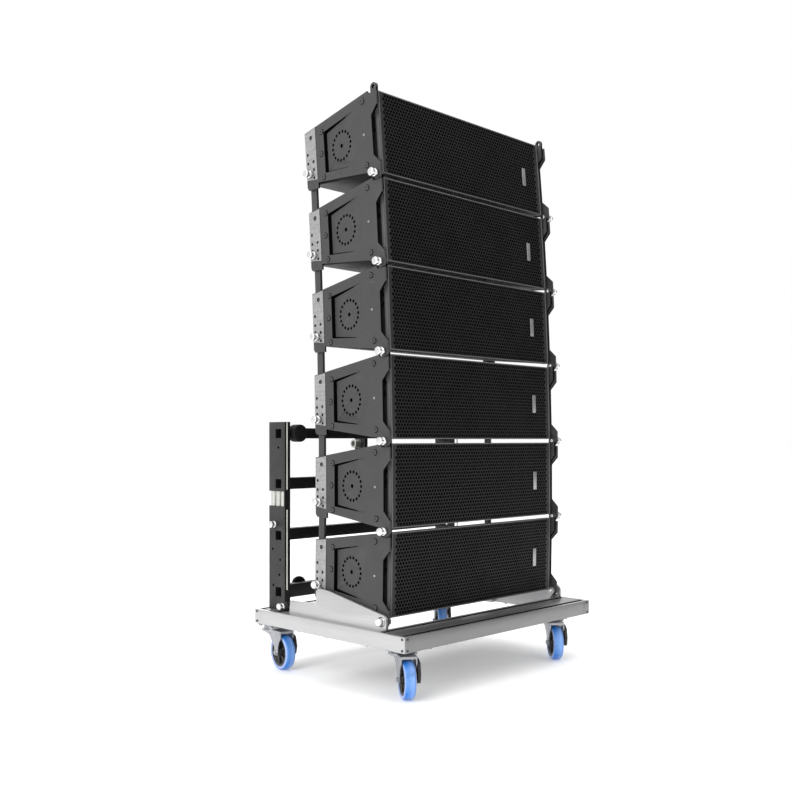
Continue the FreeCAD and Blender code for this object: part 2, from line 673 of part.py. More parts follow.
def crossbars():
    """Four level bars between the posts."""
    part = body("Crossbars")
    half = "(frame_half - post_thick)"
    front = "post_front + bar_setback"
    for low, high in ((489, 519), (343, 376), (197, 230), (31, 69)):
        slab(part, "YZ", f"-{half}", half, block, front, f"deck_top + {low}",
             f"{front} + bar_thick", f"deck_top + {high}")
    return part


def bumpers():
    """Round rubber bumpers: two before the top bar, two behind the lowest one."""
    part = body("Bumpers")
    front = "post_front + bar_setback"
    for side in (-1, 1):
        slab(part, "XZ", f"0.1 - ({front})", "10 - post_front", ring,
             f"{side} * bumper_x", "deck_top + 504", "bumper_rad")
        slab(part, "XZ", f"-({front} + bar_thick) - 12", f"-({front} + bar_thick) - 0.1",
             ring, f"{side} * low_bumper_x", "deck_top + 59", "bumper_rad")
    return part


def centre_bar():
    """Pick-up bar down the middle of the frame, drilled for the shackle."""
    part = body("CentreBar")
    front = "post_front + bar_setback + bar_thick"
    slab(part, "YZ", "-6", "6", block, front, "deck_top + 343", f"{front} + 46",
         "deck_top + 519")
    slab(part, "YZ", "-30", "-6", ring, f"{front} + 28", "deck_top + 473", "13")
    holes = sketch(part, "YZ", "-31")
    for step in range(6):
        ring(holes, f"{front} + 28", f"deck_top + {361 + step * 28}", "8.5")
    pad(part, holes, "38", "Pocket", True)
    return part


def frame_pin():
    """Pull pin through a post of the frame, on the right."""
    part = body("FramePin")
    spin(part, "XY", [
        ("frame_half - post_thick - 4", "0"), ("frame_half - post_thick - 4", "pin_rad - 1"),
        ("frame_half - post_thick - 3", "pin_rad"), ("frame_half + 0.4", "pin_rad"),
        ("frame_half + 0.4", "collar_rad"), ("frame_half + 6", "collar_rad"),
        ("frame_half + 7", "knob_rad - 1"), ("frame_half + 11", "knob_rad - 1"),
        ("frame_half + 12", "collar_rad"), ("frame_half + 16", "collar_rad"),
        ("frame_half + 17", "knob_rad - 1"), ("frame_half + 23", "knob_rad - 1"),
        ("frame_half + 23", "0")], axis="H_Axis")
    return part


def flying_frame():
    post = upright()
    node("frame_uprights", [post, mirror(post, "UprightLeft")])
    node("frame_crossbars", [crossbars()])
    node("frame_bumpers", [bumpers()])
    node("frame_centre_bar", [centre_bar()])
    pin = frame_pin()
    spots = [("post_front", "deck_top + 14"), ("post_front + 37", "deck_top + 244")]
    right = [copy_at(pin, "FramePinPlaced", "0", y, z) for y, z in spots]
    pair = node("frame_pins_right", right)
    node("frame_pins_left", [mirror(pair, "frame_pins_left")])


# ---------------------------------------------------------------- build and write

dolly()
casters()
flying_frame()
cabinets()
doc.recompute()

for thing in doc.Objects:
    bad = [flag for flag in thing.State if flag in ("Invalid", "Error")]
    if bad:
        raise RuntimeError(f"{thing.Label}: {bad}")
for made in MADE:
    shape = made.Shape
    if shape.isNull() or not shape.isValid() or not shape.Solids:
        raise RuntimeError(f"{made.Label}: its shape is not a valid solid")
    shape.exportStep(f"parts/{made.Label}.step")
print(len(MADE), "sub-parts written")
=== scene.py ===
import json
import math

import bmesh
import bpy
from bpy.props import FloatProperty, FloatVectorProperty, IntProperty, PointerProperty
from mathutils import Matrix, Vector

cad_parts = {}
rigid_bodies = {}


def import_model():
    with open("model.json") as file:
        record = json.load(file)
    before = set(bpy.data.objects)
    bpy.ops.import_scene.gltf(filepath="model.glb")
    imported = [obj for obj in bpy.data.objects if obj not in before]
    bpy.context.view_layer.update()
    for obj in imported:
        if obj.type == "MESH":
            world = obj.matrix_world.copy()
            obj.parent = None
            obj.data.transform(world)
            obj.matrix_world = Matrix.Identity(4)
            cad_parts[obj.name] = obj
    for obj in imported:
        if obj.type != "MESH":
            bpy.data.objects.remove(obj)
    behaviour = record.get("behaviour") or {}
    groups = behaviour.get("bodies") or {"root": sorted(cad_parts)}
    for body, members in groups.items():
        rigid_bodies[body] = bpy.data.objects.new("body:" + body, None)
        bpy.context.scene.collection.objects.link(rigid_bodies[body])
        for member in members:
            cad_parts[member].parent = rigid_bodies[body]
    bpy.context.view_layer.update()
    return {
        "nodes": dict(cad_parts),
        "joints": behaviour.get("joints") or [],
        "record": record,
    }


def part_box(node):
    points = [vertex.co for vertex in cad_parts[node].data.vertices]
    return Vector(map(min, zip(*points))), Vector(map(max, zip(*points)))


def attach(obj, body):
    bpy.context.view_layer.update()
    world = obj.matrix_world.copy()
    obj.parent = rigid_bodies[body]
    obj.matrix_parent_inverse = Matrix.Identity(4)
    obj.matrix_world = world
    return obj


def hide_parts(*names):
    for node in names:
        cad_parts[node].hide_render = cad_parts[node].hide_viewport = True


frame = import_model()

bl_info = {
    "name": "Line Array Speaker",
    "version": (1, 0, 0),
    "blender": (4, 5, 0),
    "location": "3D View > Sidebar > Line Array",
    "description": "Dresses the stacked line array speaker, its dolly and its flying frame",
    "category": "Object",
}

MM = 0.001
CABINETS = range(1, 7)              # 1 is the top one
CORNERS = ("fl", "fr", "rl", "rr")
PLATE_HALF, LABEL_THICK = 365 * MM, 1.2 * MM      # outer faces of the rigging plates
SIDES = {"left": -1, "right": 1}
PIN_KNOB = 10.5 * MM                # radius of a pull pin's grip
DRIVER_Z = 115 * MM                 # middle of the drivers and of the rear panel
BARRELS = 465 * MM, 505 * MM        # lowest and highest face of the posts' barrels
BOSS_FACE = -6.2 * MM               # the centre bar's pale boss stands out beyond this

# Places on a rigging plate, in millimetres back from and up from the front pin
RING, RING_RADIUS, RING_HOLES = (130, 111.5), 38, 18
INDEX_HOLES = (262, 123), (262, 98), (262, 79), (240, 99), (240, 77), (240, 54)
INDEX_EYE = 246, 167
PLATE_SCREWS = (38, 201), (34, 30), (202, 171), (207, 111), (202, 45)
RAMP_START, RAMP_LONG, RAMP_DEEP = 75, 120, 9.3
ROUND_STEPS = 20
SPOKES = 6                          # on each side of a wheel's core
JOINTS = {joint["name"]: joint for joint in frame["joints"]}
MOUNTS = {mount["name"]: mount for mount in frame["record"]["mounts"]}


# ---------------------------------------------------------------- sizes and colours

def length(name, description, millimetres):
    return FloatProperty(name=name, description=description, default=millimetres * MM,
                         subtype="DISTANCE", unit="LENGTH")


def colour(name, description, start):
    return FloatVectorProperty(name=name, description=description, default=start,
                               subtype="COLOR", size=3)


class CabinetSizes(bpy.types.PropertyGroup):
    hole_pitch: length("Hole pitch", "Distance between neighbouring grille holes", 10.5)
    hole_share: FloatProperty(
        name="Hole share", description="Hole width as a part of the pitch",
        default=0.80, min=0.3, max=0.92, subtype="FACTOR")
    sheet_thick: length("Sheet thickness", "Thickness of the grille's steel", 1.5)
    rim_wide: length("Rim width", "Plain border above and below the perforations", 3.2)
    strip_wide: length("Side strip width", "Plain strip at each end of the grille", 13)
    bevel: length("Edge softness", "Rounding of the box's outer edges", 1.6)
    coating: colour("Coating", "Colour of the box's textured coating", (0.016, 0.016, 0.0165))
    grille: colour("Grille", "Colour of the perforated steel", (0.0035, 0.0035, 0.0036))
    # Painted highlight: the rim's pale grey stands for the light along its fold.
    strip: colour("Rim", "Colour of the folded rim around the grille", (0.11, 0.11, 0.112))
    strip_side: colour("Side strip", "Colour of the notched strips beside the grille", (0.02, 0.02, 0.0205))


class RiggingSizes(bpy.types.PropertyGroup):
    bevel: length("Edge softness", "Rounding of the rigging plates' edges", 0.8)
    paint: colour("Paint", "Colour of the rigging plates, links and arms", (0.042, 0.042, 0.0435))
    label: colour("Index plate", "Colour of the pale index plates", (0.35, 0.35, 0.354))
    screw_radius: length("Screw radius", "Radius of the button heads on the plates", 6.5)
    screw_height: length("Screw height", "Height of the button heads on the plates", 3.6)


class DollySizes(bpy.types.PropertyGroup):
    bevel: length("Edge softness", "Rounding of the dolly's edges", 1.2)
    metal: colour("Metal", "Colour of the brushed aluminium", (0.56, 0.56, 0.565))
    tyre: colour("Tyre", "Colour of the casters' tyres", (0.012, 0.19, 0.66))
    lathe_steps: IntProperty(
        name="Lathe steps", description="Facets around each wheel",
        default=72, min=12, max=160)


# ---------------------------------------------------------------- materials

def plug(links, source, socket):
    """Feed a socket from another one, from a node's first output or by a plain value."""
    if isinstance(source, bpy.types.Node):
        source = source.outputs[0]
    if isinstance(source, bpy.types.NodeSocket):
        links.new(source, socket)
    else:
        socket.default_value = source


class Shader:
    """A principled material under construction, with a few short ways to add to it."""

    def __init__(self, name, color, rough, metallic=0.0, **sockets):
        self.material = bpy.data.materials.new(name)
        self.material.use_nodes = True
        self.material.diffuse_color = (*color, 1)
        self.nodes = self.material.node_tree.nodes
        self.links = self.material.node_tree.links
        self.skin = self.nodes["Principled BSDF"]
        self.skin.inputs["Base Color"].default_value = (*color, 1)
        self.skin.inputs["Roughness"].default_value = rough
        self.skin.inputs["Metallic"].default_value = metallic
        for socket, number in sockets.items():
            self.skin.inputs[socket.replace("_", " ")].default_value = number
        self.color = color
        coordinates = self.add("ShaderNodeTexCoord")
        self.place, self.uv = coordinates.outputs["Object"], coordinates.outputs["UV"]

    def add(self, kind, **settings):
        node = self.nodes.new(kind)
        for key, setting in settings.items():
            setattr(node, key, setting)
        return node

    def feed(self, node, **inputs):
        for socket, source in inputs.items():
            plug(self.links, source, node.inputs[socket.replace("_", " ")])
        return node

    def grain(self, scale, detail=3.0, stretch=None, rough=0.5):
        """Noise on object coordinates, stretched along an axis if asked."""
        place = self.place
        if stretch:
            turn = self.feed(self.add("ShaderNodeMapping"), Vector=place, Scale=stretch)
            place = turn.outputs["Vector"]
        noise = self.add("ShaderNodeTexNoise")
        self.feed(noise, Vector=place, Scale=scale, Detail=detail, Roughness=rough)
        return noise.outputs["Fac"]

    def calc(self, operation, first, second=0.0):
        """A sum, product or other calculation on two values."""
        node = self.add("ShaderNodeMath", operation=operation)
        for socket, source in zip(node.inputs, (first, second)):
            plug(self.links, source, socket)
        return node.outputs[0]

    def span(self, source, low, high, to_low, to_high):
        """Map a value from one span to another."""
        node = self.feed(self.add("ShaderNodeMapRange"), Value=source)
        for socket, number in zip(("From Min", "From Max", "To Min", "To Max"),
                                  (low, high, to_low, to_high)):
            node.inputs[socket].default_value = number
        return node.outputs["Result"]

    def tint(self, source, other):
        """Blend the base colour with another one."""
        mix = self.add("ShaderNodeMix", data_type="RGBA")
        self.links.new(source, mix.inputs[0])
        held = self.skin.inputs["Base Color"]
        if held.is_linked:
            self.links.new(held.links[0].from_socket, mix.inputs[6])
        else:
            mix.inputs[6].default_value = (*self.color, 1)
        mix.inputs[7].default_value = (*other, 1)
        self.links.new(mix.outputs[2], held)
        return self

    def roughen(self, source, low, high):
        """Let the roughness wander between two values."""
        self.links.new(self.span(source, 0.3, 0.7, low, high), self.skin.inputs["Roughness"])
        return self

    def emboss(self, source, depth, strength=1.0):
        """Raise the surface by a height field."""
        bump = self.add("ShaderNodeBump")
        self.feed(bump, Height=source, Strength=strength, Distance=depth)
        held = self.skin.inputs["Normal"]
        if held.is_linked:
            self.links.new(held.links[0].from_socket, bump.inputs["Normal"])
        self.links.new(bump.outputs["Normal"], held)
        return self


def shade(color, share):
    """The colour made darker (below 1) or lighter (above 1)."""
    return tuple(min(1.0, part * share) for part in color)


def coating(color):
    """Box: sprayed textured coating, finely pebbled, a little dusty."""
    look = Shader("textured_coating", color, 0.62, Specular_IOR_Level=0.4)
    look.emboss(look.grain(620, 2.0), 0.0006, 0.7).roughen(look.grain(9), 0.55, 0.72)
    return look.tint(look.span(look.grain(14, 4.0), 0.5, 0.8, 0.0, 0.5), shade(color, 1.7)).material


def rigging_paint(color):
    """Steel plates: textured powder coat with faint handling marks."""
    look = Shader("rigging_paint", color, 0.5, 0.15, Specular_IOR_Level=0.5)
    look.emboss(look.grain(850, 2.0), 0.0004, 0.55).roughen(look.grain(22, 5.0), 0.42, 0.62)
    look.tint(look.span(look.grain(7, 3.0), 0.45, 0.75, 0.0, 0.35), shade(color, 1.35))
    scuffs = look.grain(60, 6.0, stretch=(1, 0.25, 1))
    return look.tint(look.span(scuffs, 0.66, 0.74, 0.0, 0.45), shade(color, 1.9)).material


def grille_paint(color):
    """Perforated steel: smooth black powder coat."""
    look = Shader("grille_paint", color, 0.46, 0.0, Specular_IOR_Level=0.45)
    look.emboss(look.grain(1400, 1.0), 0.0002, 0.35)
    return look.roughen(look.grain(12, 3.0), 0.4, 0.55).material


def foam():
    """Acoustic foam behind the perforations: open-celled and lightless."""
    color = (0.0035, 0.0035, 0.0036)
    look = Shader("acoustic_foam", color, 0.95, Specular_IOR_Level=0.05)
    cells = look.add("ShaderNodeTexVoronoi")
    look.feed(cells, Vector=look.place, Scale=700.0)
    return look.emboss(cells.outputs["Distance"], 0.0012, 0.8).material


def strip_paint(color):
    """Satin grey strips beside the grille; its paler shades on the rim, the end beads and the return's
    sides are painted highlights.
    """
    look = Shader("strip_paint", color, 0.42, 0.35)
    look.emboss(look.grain(900, 2.0), 0.0003, 0.4)
    return look.roughen(look.grain(25, 4.0), 0.36, 0.5).material


def index_metal(color):
    """Pale index plates: etched aluminium with fine cross marks."""
    look = Shader("index_metal", color, 0.42, 0.55)
    look.tint(look.span(look.grain(160, 5.0), 0.45, 0.62, 0.0, 0.55), shade(color, 0.62))
    marks = look.add("ShaderNodeTexWave", bands_direction="Z")
    look.feed(marks, Vector=look.place, Scale=26.0, Distortion=1.2, Detail=2.0)
    look.tint(look.span(marks.outputs["Fac"], 0.9, 1.0, 0.0, 0.35), shade(color, 1.35))
    look.emboss(look.grain(400, 3.0), 0.0003, 0.5)
    return look.roughen(look.grain(40, 3.0), 0.35, 0.55).material


def brushed_metal(name, color, along):
    """Brushed aluminium, its grain running along one axis."""
    look = Shader(name, color, 0.36, 0.85)
    stretch = tuple(0.012 if axis == along else 1.0 for axis in "XYZ")
    streaks = look.grain(900, 4.0, stretch=stretch)
    look.tint(look.span(streaks, 0.35, 0.7, 0.0, 0.4), shade(color, 0.72))
    look.tint(look.span(look.grain(5, 4.0), 0.5, 0.75, 0.0, 0.3), shade(color, 0.8))
    look.emboss(streaks, 0.00015, 0.35)
    return look.roughen(look.grain(500, 3.0, stretch=stretch), 0.3, 0.46).material


def chrome():
    """Pull pins: polished, with a knurled bite on the grips."""
    look = Shader("pin_chrome", (0.78, 0.78, 0.79), 0.16, 1.0)
    knurl = look.add("ShaderNodeTexMagic", turbulence_depth=1)
    look.feed(knurl, Vector=look.place, Scale=900.0, Distortion=0.6)
    look.emboss(knurl.outputs["Fac"], 0.00025, 0.35)
    return look.roughen(look.grain(60, 3.0), 0.12, 0.26).material


def zinc():
    """Caster forks and plates: bright zinc with a cloudy spangle."""
    look = Shader("zinc_plate", (0.42, 0.43, 0.45), 0.38, 0.9)
    spangle = look.add("ShaderNodeTexVoronoi")
    look.feed(spangle, Vector=look.place, Scale=180.0)
    look.tint(look.span(spangle.outputs["Distance"], 0.1, 0.6, 0.0, 0.35), (0.25, 0.26, 0.28))
    return look.roughen(look.grain(90, 4.0), 0.28, 0.5).material


def tyre(color):
    """Elastic blue tread: glossy, with a milky worn band and streaks along its rolling, and a painted sheen
    that makes it paler where it faces the viewer.
    """
    look = Shader("blue_tyre", color, 0.34, Specular_IOR_Level=0.55, Coat_Weight=0.2)
    spot = look.feed(look.add("ShaderNodeSeparateXYZ"), Vector=look.uv)
    across = spot.outputs["Y"]
    stretch = look.feed(look.add("ShaderNodeMapping"), Vector=look.uv, Scale=(6.0, 60.0, 1.0))
    streaks = look.add("ShaderNodeTexNoise")
    look.feed(streaks, Vector=stretch.outputs["Vector"], Scale=1.0, Detail=5.0)
    off_centre = look.calc("ABSOLUTE", look.calc("SUBTRACT", across, 0.55))
    band = look.span(off_centre, 0.03, 0.16, 0.6, 0.0)
    worn = look.calc("MULTIPLY", band, look.span(streaks.outputs["Fac"], 0.3, 0.6, 0.25, 1.0))
    look.tint(worn, (0.36, 0.52, 0.86))
    # Painted sheen: the tread is paler where it faces the viewer and keeps its full blue at glancing
    # angles.
    facing_sheen = look.add("ShaderNodeLayerWeight")
    look.tint(look.span(facing_sheen.outputs["Facing"], 0.0, 0.32, 0.4, 0.0), (0.30, 0.50, 0.86))
    wall = look.span(look.calc("ABSOLUTE", look.calc("SUBTRACT", across, 0.46)),
                     0.2, 0.25, 0.0, 0.6)
    look.tint(wall, (0.50, 0.54, 0.74))
    dirt = look.span(look.grain(35, 5.0), 0.55, 0.75, 0.0, 0.5)
    look.tint(dirt, shade(color, 0.45))
    look.emboss(streaks.outputs["Fac"], 0.0004, 0.4)
    return look.roughen(look.grain(60, 4.0), 0.26, 0.5).material


def black_plastic():
    """Moulded parts: wheel cores, brake levers, connectors."""
    color = (0.012, 0.012, 0.0125)
    look = Shader("black_plastic", color, 0.44)
    look.emboss(look.grain(700, 2.0), 0.0003, 0.4)
    return look.roughen(look.grain(30, 3.0), 0.36, 0.55).material


def black_paint():
    """Flying frame: deep black paint, rubbed along its length."""
    color = (0.006, 0.006, 0.0063)
    look = Shader("frame_black", color, 0.5, 0.1)
    look.emboss(look.grain(800, 2.0), 0.0003, 0.45)
    return look.tint(look.span(look.grain(50, 5.0), 0.62, 0.75, 0.0, 0.3),
                     (0.03, 0.03, 0.031)).material


def shade_and_seam_black():
    """Matt black with no shine at all: painted shade in the bores and on the recess walls, painted shadow
    in the bands and rings round the recess, holes and screws, and the dark seams round the dolly's beam
    covers.
    """
    look = Shader("black_shade_and_seam", (0.0015, 0.0015, 0.0015), 0.95, Specular_IOR_Level=0.03)
    return look.emboss(look.grain(500, 2.0), 0.0002, 0.3).material


def rubber():
    """Round bumpers on the frame."""
    look = Shader("bumper_rubber", (0.006, 0.006, 0.006), 0.7, Specular_IOR_Level=0.3)
    return look.emboss(look.grain(450, 3.0), 0.0004, 0.5).material


def pale_metal():
    """Machined barrels of the frame's joint, lightly oxidised; the same pale metal makes the painted
    highlights along the posts' front edges.
    """
    color = (0.55, 0.56, 0.52)
    look = Shader("barrel_and_highlight_metal", color, 0.4, 0.7)
    look.tint(look.span(look.grain(120, 4.0, stretch=(1, 1, 0.2)), 0.45, 0.7, 0.0, 0.5),
              (0.30, 0.31, 0.29))
    return look.roughen(look.grain(90, 3.0), 0.3, 0.5).material


def screw_steel():
    """Black oxide screws with a faint oily sheen."""
    look = Shader("screw_steel", (0.085, 0.085, 0.086), 0.26, 0.6)
    return look.roughen(look.grain(150, 3.0), 0.28, 0.46).material


def badge_metal():
    """Small plain plate on the grille."""
    look = Shader("badge_metal", (0.42, 0.42, 0.42), 0.34, 0.8)
    streaks = look.grain(900, 3.0, stretch=(1, 1, 0.02))
    look.tint(look.span(streaks, 0.4, 0.7, 0.0, 0.4), (0.28, 0.28, 0.28))
    return look.roughen(streaks, 0.28, 0.42).material


def driver_cone():
    """Drivers behind the foam: pressed paper and cast baskets."""
    look = Shader("driver_black", (0.015, 0.015, 0.016), 0.6)
    return look.emboss(look.grain(200, 4.0), 0.0006, 0.5).material


MADE = {}


def material(recipe, *args):
    """One material per recipe, made when first asked for."""
    key = (recipe.__name__, *map(str, args[:1]))
    if key not in MADE:
        MADE[key] = recipe(*args)
    return MADE[key]


# ---------------------------------------------------------------- mesh helpers

def own_copy(node):
    """A mesh of our own from a CAD node: merged, with its flat faces whole."""
    bm = bmesh.new()
    bm.from_mesh(frame["nodes"][node].data)
    bmesh.ops.remove_doubles(bm, verts=bm.verts, dist=2e-6)
    bmesh.ops.dissolve_limit(bm, angle_limit=math.radians(0.4), verts=bm.verts[:],
                             edges=bm.edges[:])
    return bm


def islands(bm):
    """The mesh's separate shells, each a list of faces."""
    left, found = set(bm.faces), []
    while left:
        stack, shell = [left.pop()], []
        while stack:
            face = stack.pop()
            shell.append(face)
            for edge in face.edges:
                for other in edge.link_faces:
                    if other in left:
                        left.discard(other)
                        stack.append(other)
        found.append(shell)
    return found


def extent(faces):
    """Lowest and highest corner of some faces."""
    spots = [vert.co for face in faces for vert in face.verts]
    return (Vector(map(min, zip(*spots))), Vector(map(max, zip(*spots))))


def soften(bm, width, steps=2, angle=32, least=0.9 * MM):
    """Round the hard edges, less on thin shells and not at all on short edges."""
    for shell in islands(bm):
        size = extent(shell)
        reach = min(width, 0.3 * min(size[1] - size[0]))
        hard = [edge for edge in {edge for face in shell for edge in face.edges}
                if len(edge.link_faces) == 2 and edge.calc_length() > least
                and edge.calc_face_angle(0) > math.radians(angle)]
        if hard:
            bmesh.ops.bevel(bm, geom=hard, offset=reach, offset_type="OFFSET",
                            segments=steps, profile=0.5, affect="EDGES", clamp_overlap=True)


def mesh_from(bm, name, smooth_angle=28):
    mesh = bpy.data.meshes.new(name)
    bm.to_mesh(mesh)
    bm.free()
    mesh.shade_smooth()
    mesh.set_sharp_from_angle(angle=math.radians(smooth_angle))
    return mesh


def show(name, mesh, body, materials=(), nodes=()):
    """Put a finished mesh into the scene, riding on its body."""
    piece = bpy.data.objects.new(name, mesh)
    bpy.context.scene.collection.objects.link(piece)
    for one in materials:
        piece.data.materials.append(one)
    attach(piece, body)
    if nodes:
        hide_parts(*nodes)
    return piece


def dress(node, name, body, slot, materials, width, *rest, smooth=28, paint=None):
    """Replace a CAD node by its softened copy; paint gives each face its material."""
    bm = own_copy(node)
    soften(bm, width, *rest)
    if paint:
        for face in bm.faces:
            face.material_index = int(paint(face))
    return show(name, mesh_from(bm, node + "_mesh", smooth), body, materials, [node])


def slab(name, body, paint, bricks, at=None, width=0.0, steps=2):
    """Show some bricks as one piece, softened if a width is given."""
    bm = bmesh.new()
    for low, high in bricks:
        brick(bm, low, high, at)
    if width:
        soften(bm, width, steps)
    return show(name, mesh_from(bm, name + "_mesh"), body, [paint])


def span_of(one, other):
    """The lower and the higher of two places."""
    return min(one, other), max(one, other)


def brick(bm, low, high, at=None):
    """A box between two corners, placed by a matrix if one is given."""
    low, high = Vector(low), Vector(high)
    made = bmesh.ops.create_cube(bm, size=1.0)["verts"]
    size = Matrix.Diagonal((*(high - low), 1))
    move = Matrix.Translation((low + high) / 2)
    bmesh.ops.transform(bm, matrix=(at or Matrix()) @ move @ size, verts=made)
    return made


def lathe(bm, profile, at, steps):
    """Turn (along, radius) points about the X axis of a placed frame. The UV map runs
    around the turn and from the profile's first point to its last."""
    uv = bm.loops.layers.uv.verify()
    rings = []
    for along, radius in profile:
        count = 1 if radius < 1e-7 else steps
        rings.append([bm.verts.new(at @ Vector((
            along, radius * math.cos(math.tau * i / steps),
            radius * math.sin(math.tau * i / steps)))) for i in range(count)])
    for row, (near, far) in enumerate(zip(rings, rings[1:])):
        for i in range(steps):
            j = i + 1
            corners = [(near, i, row), (near, j, row), (far, j, row + 1), (far, i, row + 1)]
            spots = {}
            for ring, k, up in corners:
                spots.setdefault(ring[k % len(ring)], (k / steps, up / (len(rings) - 1)))
            face = bm.faces.new(list(spots))
            for loop, place in zip(face.loops, spots.values()):
                loop[uv].uv = place


def closed_lathe(bm, profile, at, steps):
    """Turn a closed profile in millimetres into a ring that faces outward."""
    lathe(bm, [(along * MM, radius * MM) for along, radius in profile], at, steps)
    bmesh.ops.remove_doubles(bm, verts=bm.verts, dist=1e-6)
    bmesh.ops.recalc_face_normals(bm, faces=bm.faces)


def aim(direction, origin=(0, 0, 0)):
    """A placed frame whose X axis points along a direction."""
    turn = Vector(direction).to_track_quat("X", "Z").to_matrix().to_4x4()
    return Matrix.Translation(Vector(origin)) @ turn


# ---------------------------------------------------------------- geometry node trees

class Tree:
    """A geometry node tree under construction, with named inputs."""

    def __init__(self, name, inputs):
        self.group = bpy.data.node_groups.new(name, "GeometryNodeTree")
        face = self.group.interface
        face.new_socket(name="Geometry", in_out="INPUT", socket_type="NodeSocketGeometry")
        self.ids = {}
        for label, (kind, start) in inputs.items():
            socket = face.new_socket(name=label, in_out="INPUT",
                                     socket_type="NodeSocket" + kind)
            if start is not None:
                socket.default_value = start
            self.ids[label] = socket.identifier
        face.new_socket(name="Geometry", in_out="OUTPUT", socket_type="NodeSocketGeometry")
        self.given = self.group.nodes.new("NodeGroupInput")
        self.out = self.group.nodes.new("NodeGroupOutput")

    def __getitem__(self, label):
        return self.given.outputs[label]

    def add(self, kind, settings=None, **inputs):
        node = self.group.nodes.new(kind)
        for key, setting in (settings or {}).items():
            setattr(node, key, setting)
        for socket, source in inputs.items():
            plug(self.group.links, source, node.inputs[socket.replace("_", " ")])
        return node

    def math(self, operation, first, second=0.0):
        node = self.group.nodes.new("ShaderNodeMath")
        node.operation = operation
        for socket, source in zip(node.inputs, (first, second)):
            plug(self.group.links, source, socket)
        return node.outputs[0]

    def finish(self, geometry):
        """Realize, paint and hand over."""
        real = self.add("GeometryNodeRealizeInstances", Geometry=geometry)
        paint = self.add("GeometryNodeSetMaterial", Geometry=real, Material=self["Material"])
        self.group.links.new(paint.outputs[0], self.out.inputs[0])

    def grow(self, mesh, name, **values):
        """Run the tree on a mesh and return the result as a plain mesh."""
        carrier = bpy.data.objects.new(name, mesh)
        bpy.context.scene.collection.objects.link(carrier)
        modifier = carrier.modifiers.new(name, "NODES")
        modifier.node_group = self.group
        for label, number in values.items():
            modifier[self.ids[label.replace("_", " ")]] = number
        graph = bpy.context.evaluated_depsgraph_get()
        grown = bpy.data.meshes.new_from_object(carrier.evaluated_get(graph))
        carrier.modifiers.clear()
        bpy.data.objects.remove(carrier)
        grown.name = name
        return grown


def perforation_tree():
    """Steel sheet with staggered hexagonal holes, standing in the XZ plane."""
    tree = Tree("perforated_sheet", {
        "Columns": ("Int", 3), "Rows": ("Int", 3), "Pitch": ("Float", 0.01),
        "Hole Share": ("Float", 0.7), "Thickness": ("Float", 0.0015),
        "Material": ("Material", None)})
    row_gap = tree.math("MULTIPLY", tree["Pitch"], math.sqrt(3) / 2)
    wide = tree.math("MULTIPLY", tree["Pitch"], tree.math("SUBTRACT", tree["Columns"], 1))
    high = tree.math("MULTIPLY", row_gap, tree.math("SUBTRACT", tree["Rows"], 1))
    grid = tree.add("GeometryNodeMeshGrid", Size_X=wide, Size_Y=high,
                    Vertices_X=tree["Columns"], Vertices_Y=tree["Rows"])
    # every second row moves across by half a pitch
    spot = tree.add("ShaderNodeSeparateXYZ",
                    Vector=tree.add("GeometryNodeInputPosition"))
    row = tree.math("ROUND", tree.math("DIVIDE", spot.outputs["Y"], row_gap))
    odd = tree.math("ABSOLUTE", tree.math("MODULO", row, 2.0))
    shift = tree.math("MULTIPLY", odd, tree.math("MULTIPLY", tree["Pitch"], 0.5))
    moved = tree.add("GeometryNodeSetPosition", Geometry=grid,
                     Offset=tree.add("ShaderNodeCombineXYZ", X=shift))
    # one cell: a hexagon with a hexagonal hole
    cell = tree.add("GeometryNodeMeshCircle", {"fill_type": "NGON"}, Vertices=6,
                    Radius=tree.math("DIVIDE", tree["Pitch"], math.sqrt(3)))
    turned = tree.add("GeometryNodeTransform", Geometry=cell,
                      Rotation=(0, 0, math.radians(30)))
    inset = tree.add("GeometryNodeExtrudeMesh", {"mode": "FACES"}, Mesh=turned,
                     Offset_Scale=0.0)
    small = tree.add("GeometryNodeScaleElements", Geometry=inset,
                     Selection=inset.outputs["Top"], Scale=tree["Hole Share"])
    ring = tree.add("GeometryNodeDeleteGeometry", {"domain": "FACE"},
                    Geometry=small, Selection=inset.outputs["Top"])
    cells = tree.add("GeometryNodeInstanceOnPoints", Points=moved,
                     Instance=ring)
    real = tree.add("GeometryNodeRealizeInstances", Geometry=cells)
    sheet = tree.add("GeometryNodeMergeByDistance", Geometry=real, Distance=1e-4)
    front = tree.add("GeometryNodeExtrudeMesh", {"mode": "FACES"}, Mesh=sheet,
                     Offset_Scale=tree["Thickness"], Individual=False)
    back = tree.add("GeometryNodeFlipFaces", Mesh=sheet)
    both = tree.add("GeometryNodeJoinGeometry")
    for part in (front, back):
        tree.group.links.new(part.outputs[0], both.inputs[0])
    closed = tree.add("GeometryNodeMergeByDistance", Geometry=both, Distance=1e-4)
    upright = tree.add("GeometryNodeTransform", Geometry=closed,
                       Rotation=(math.radians(90), 0, 0))
    tree.finish(upright)
    return tree


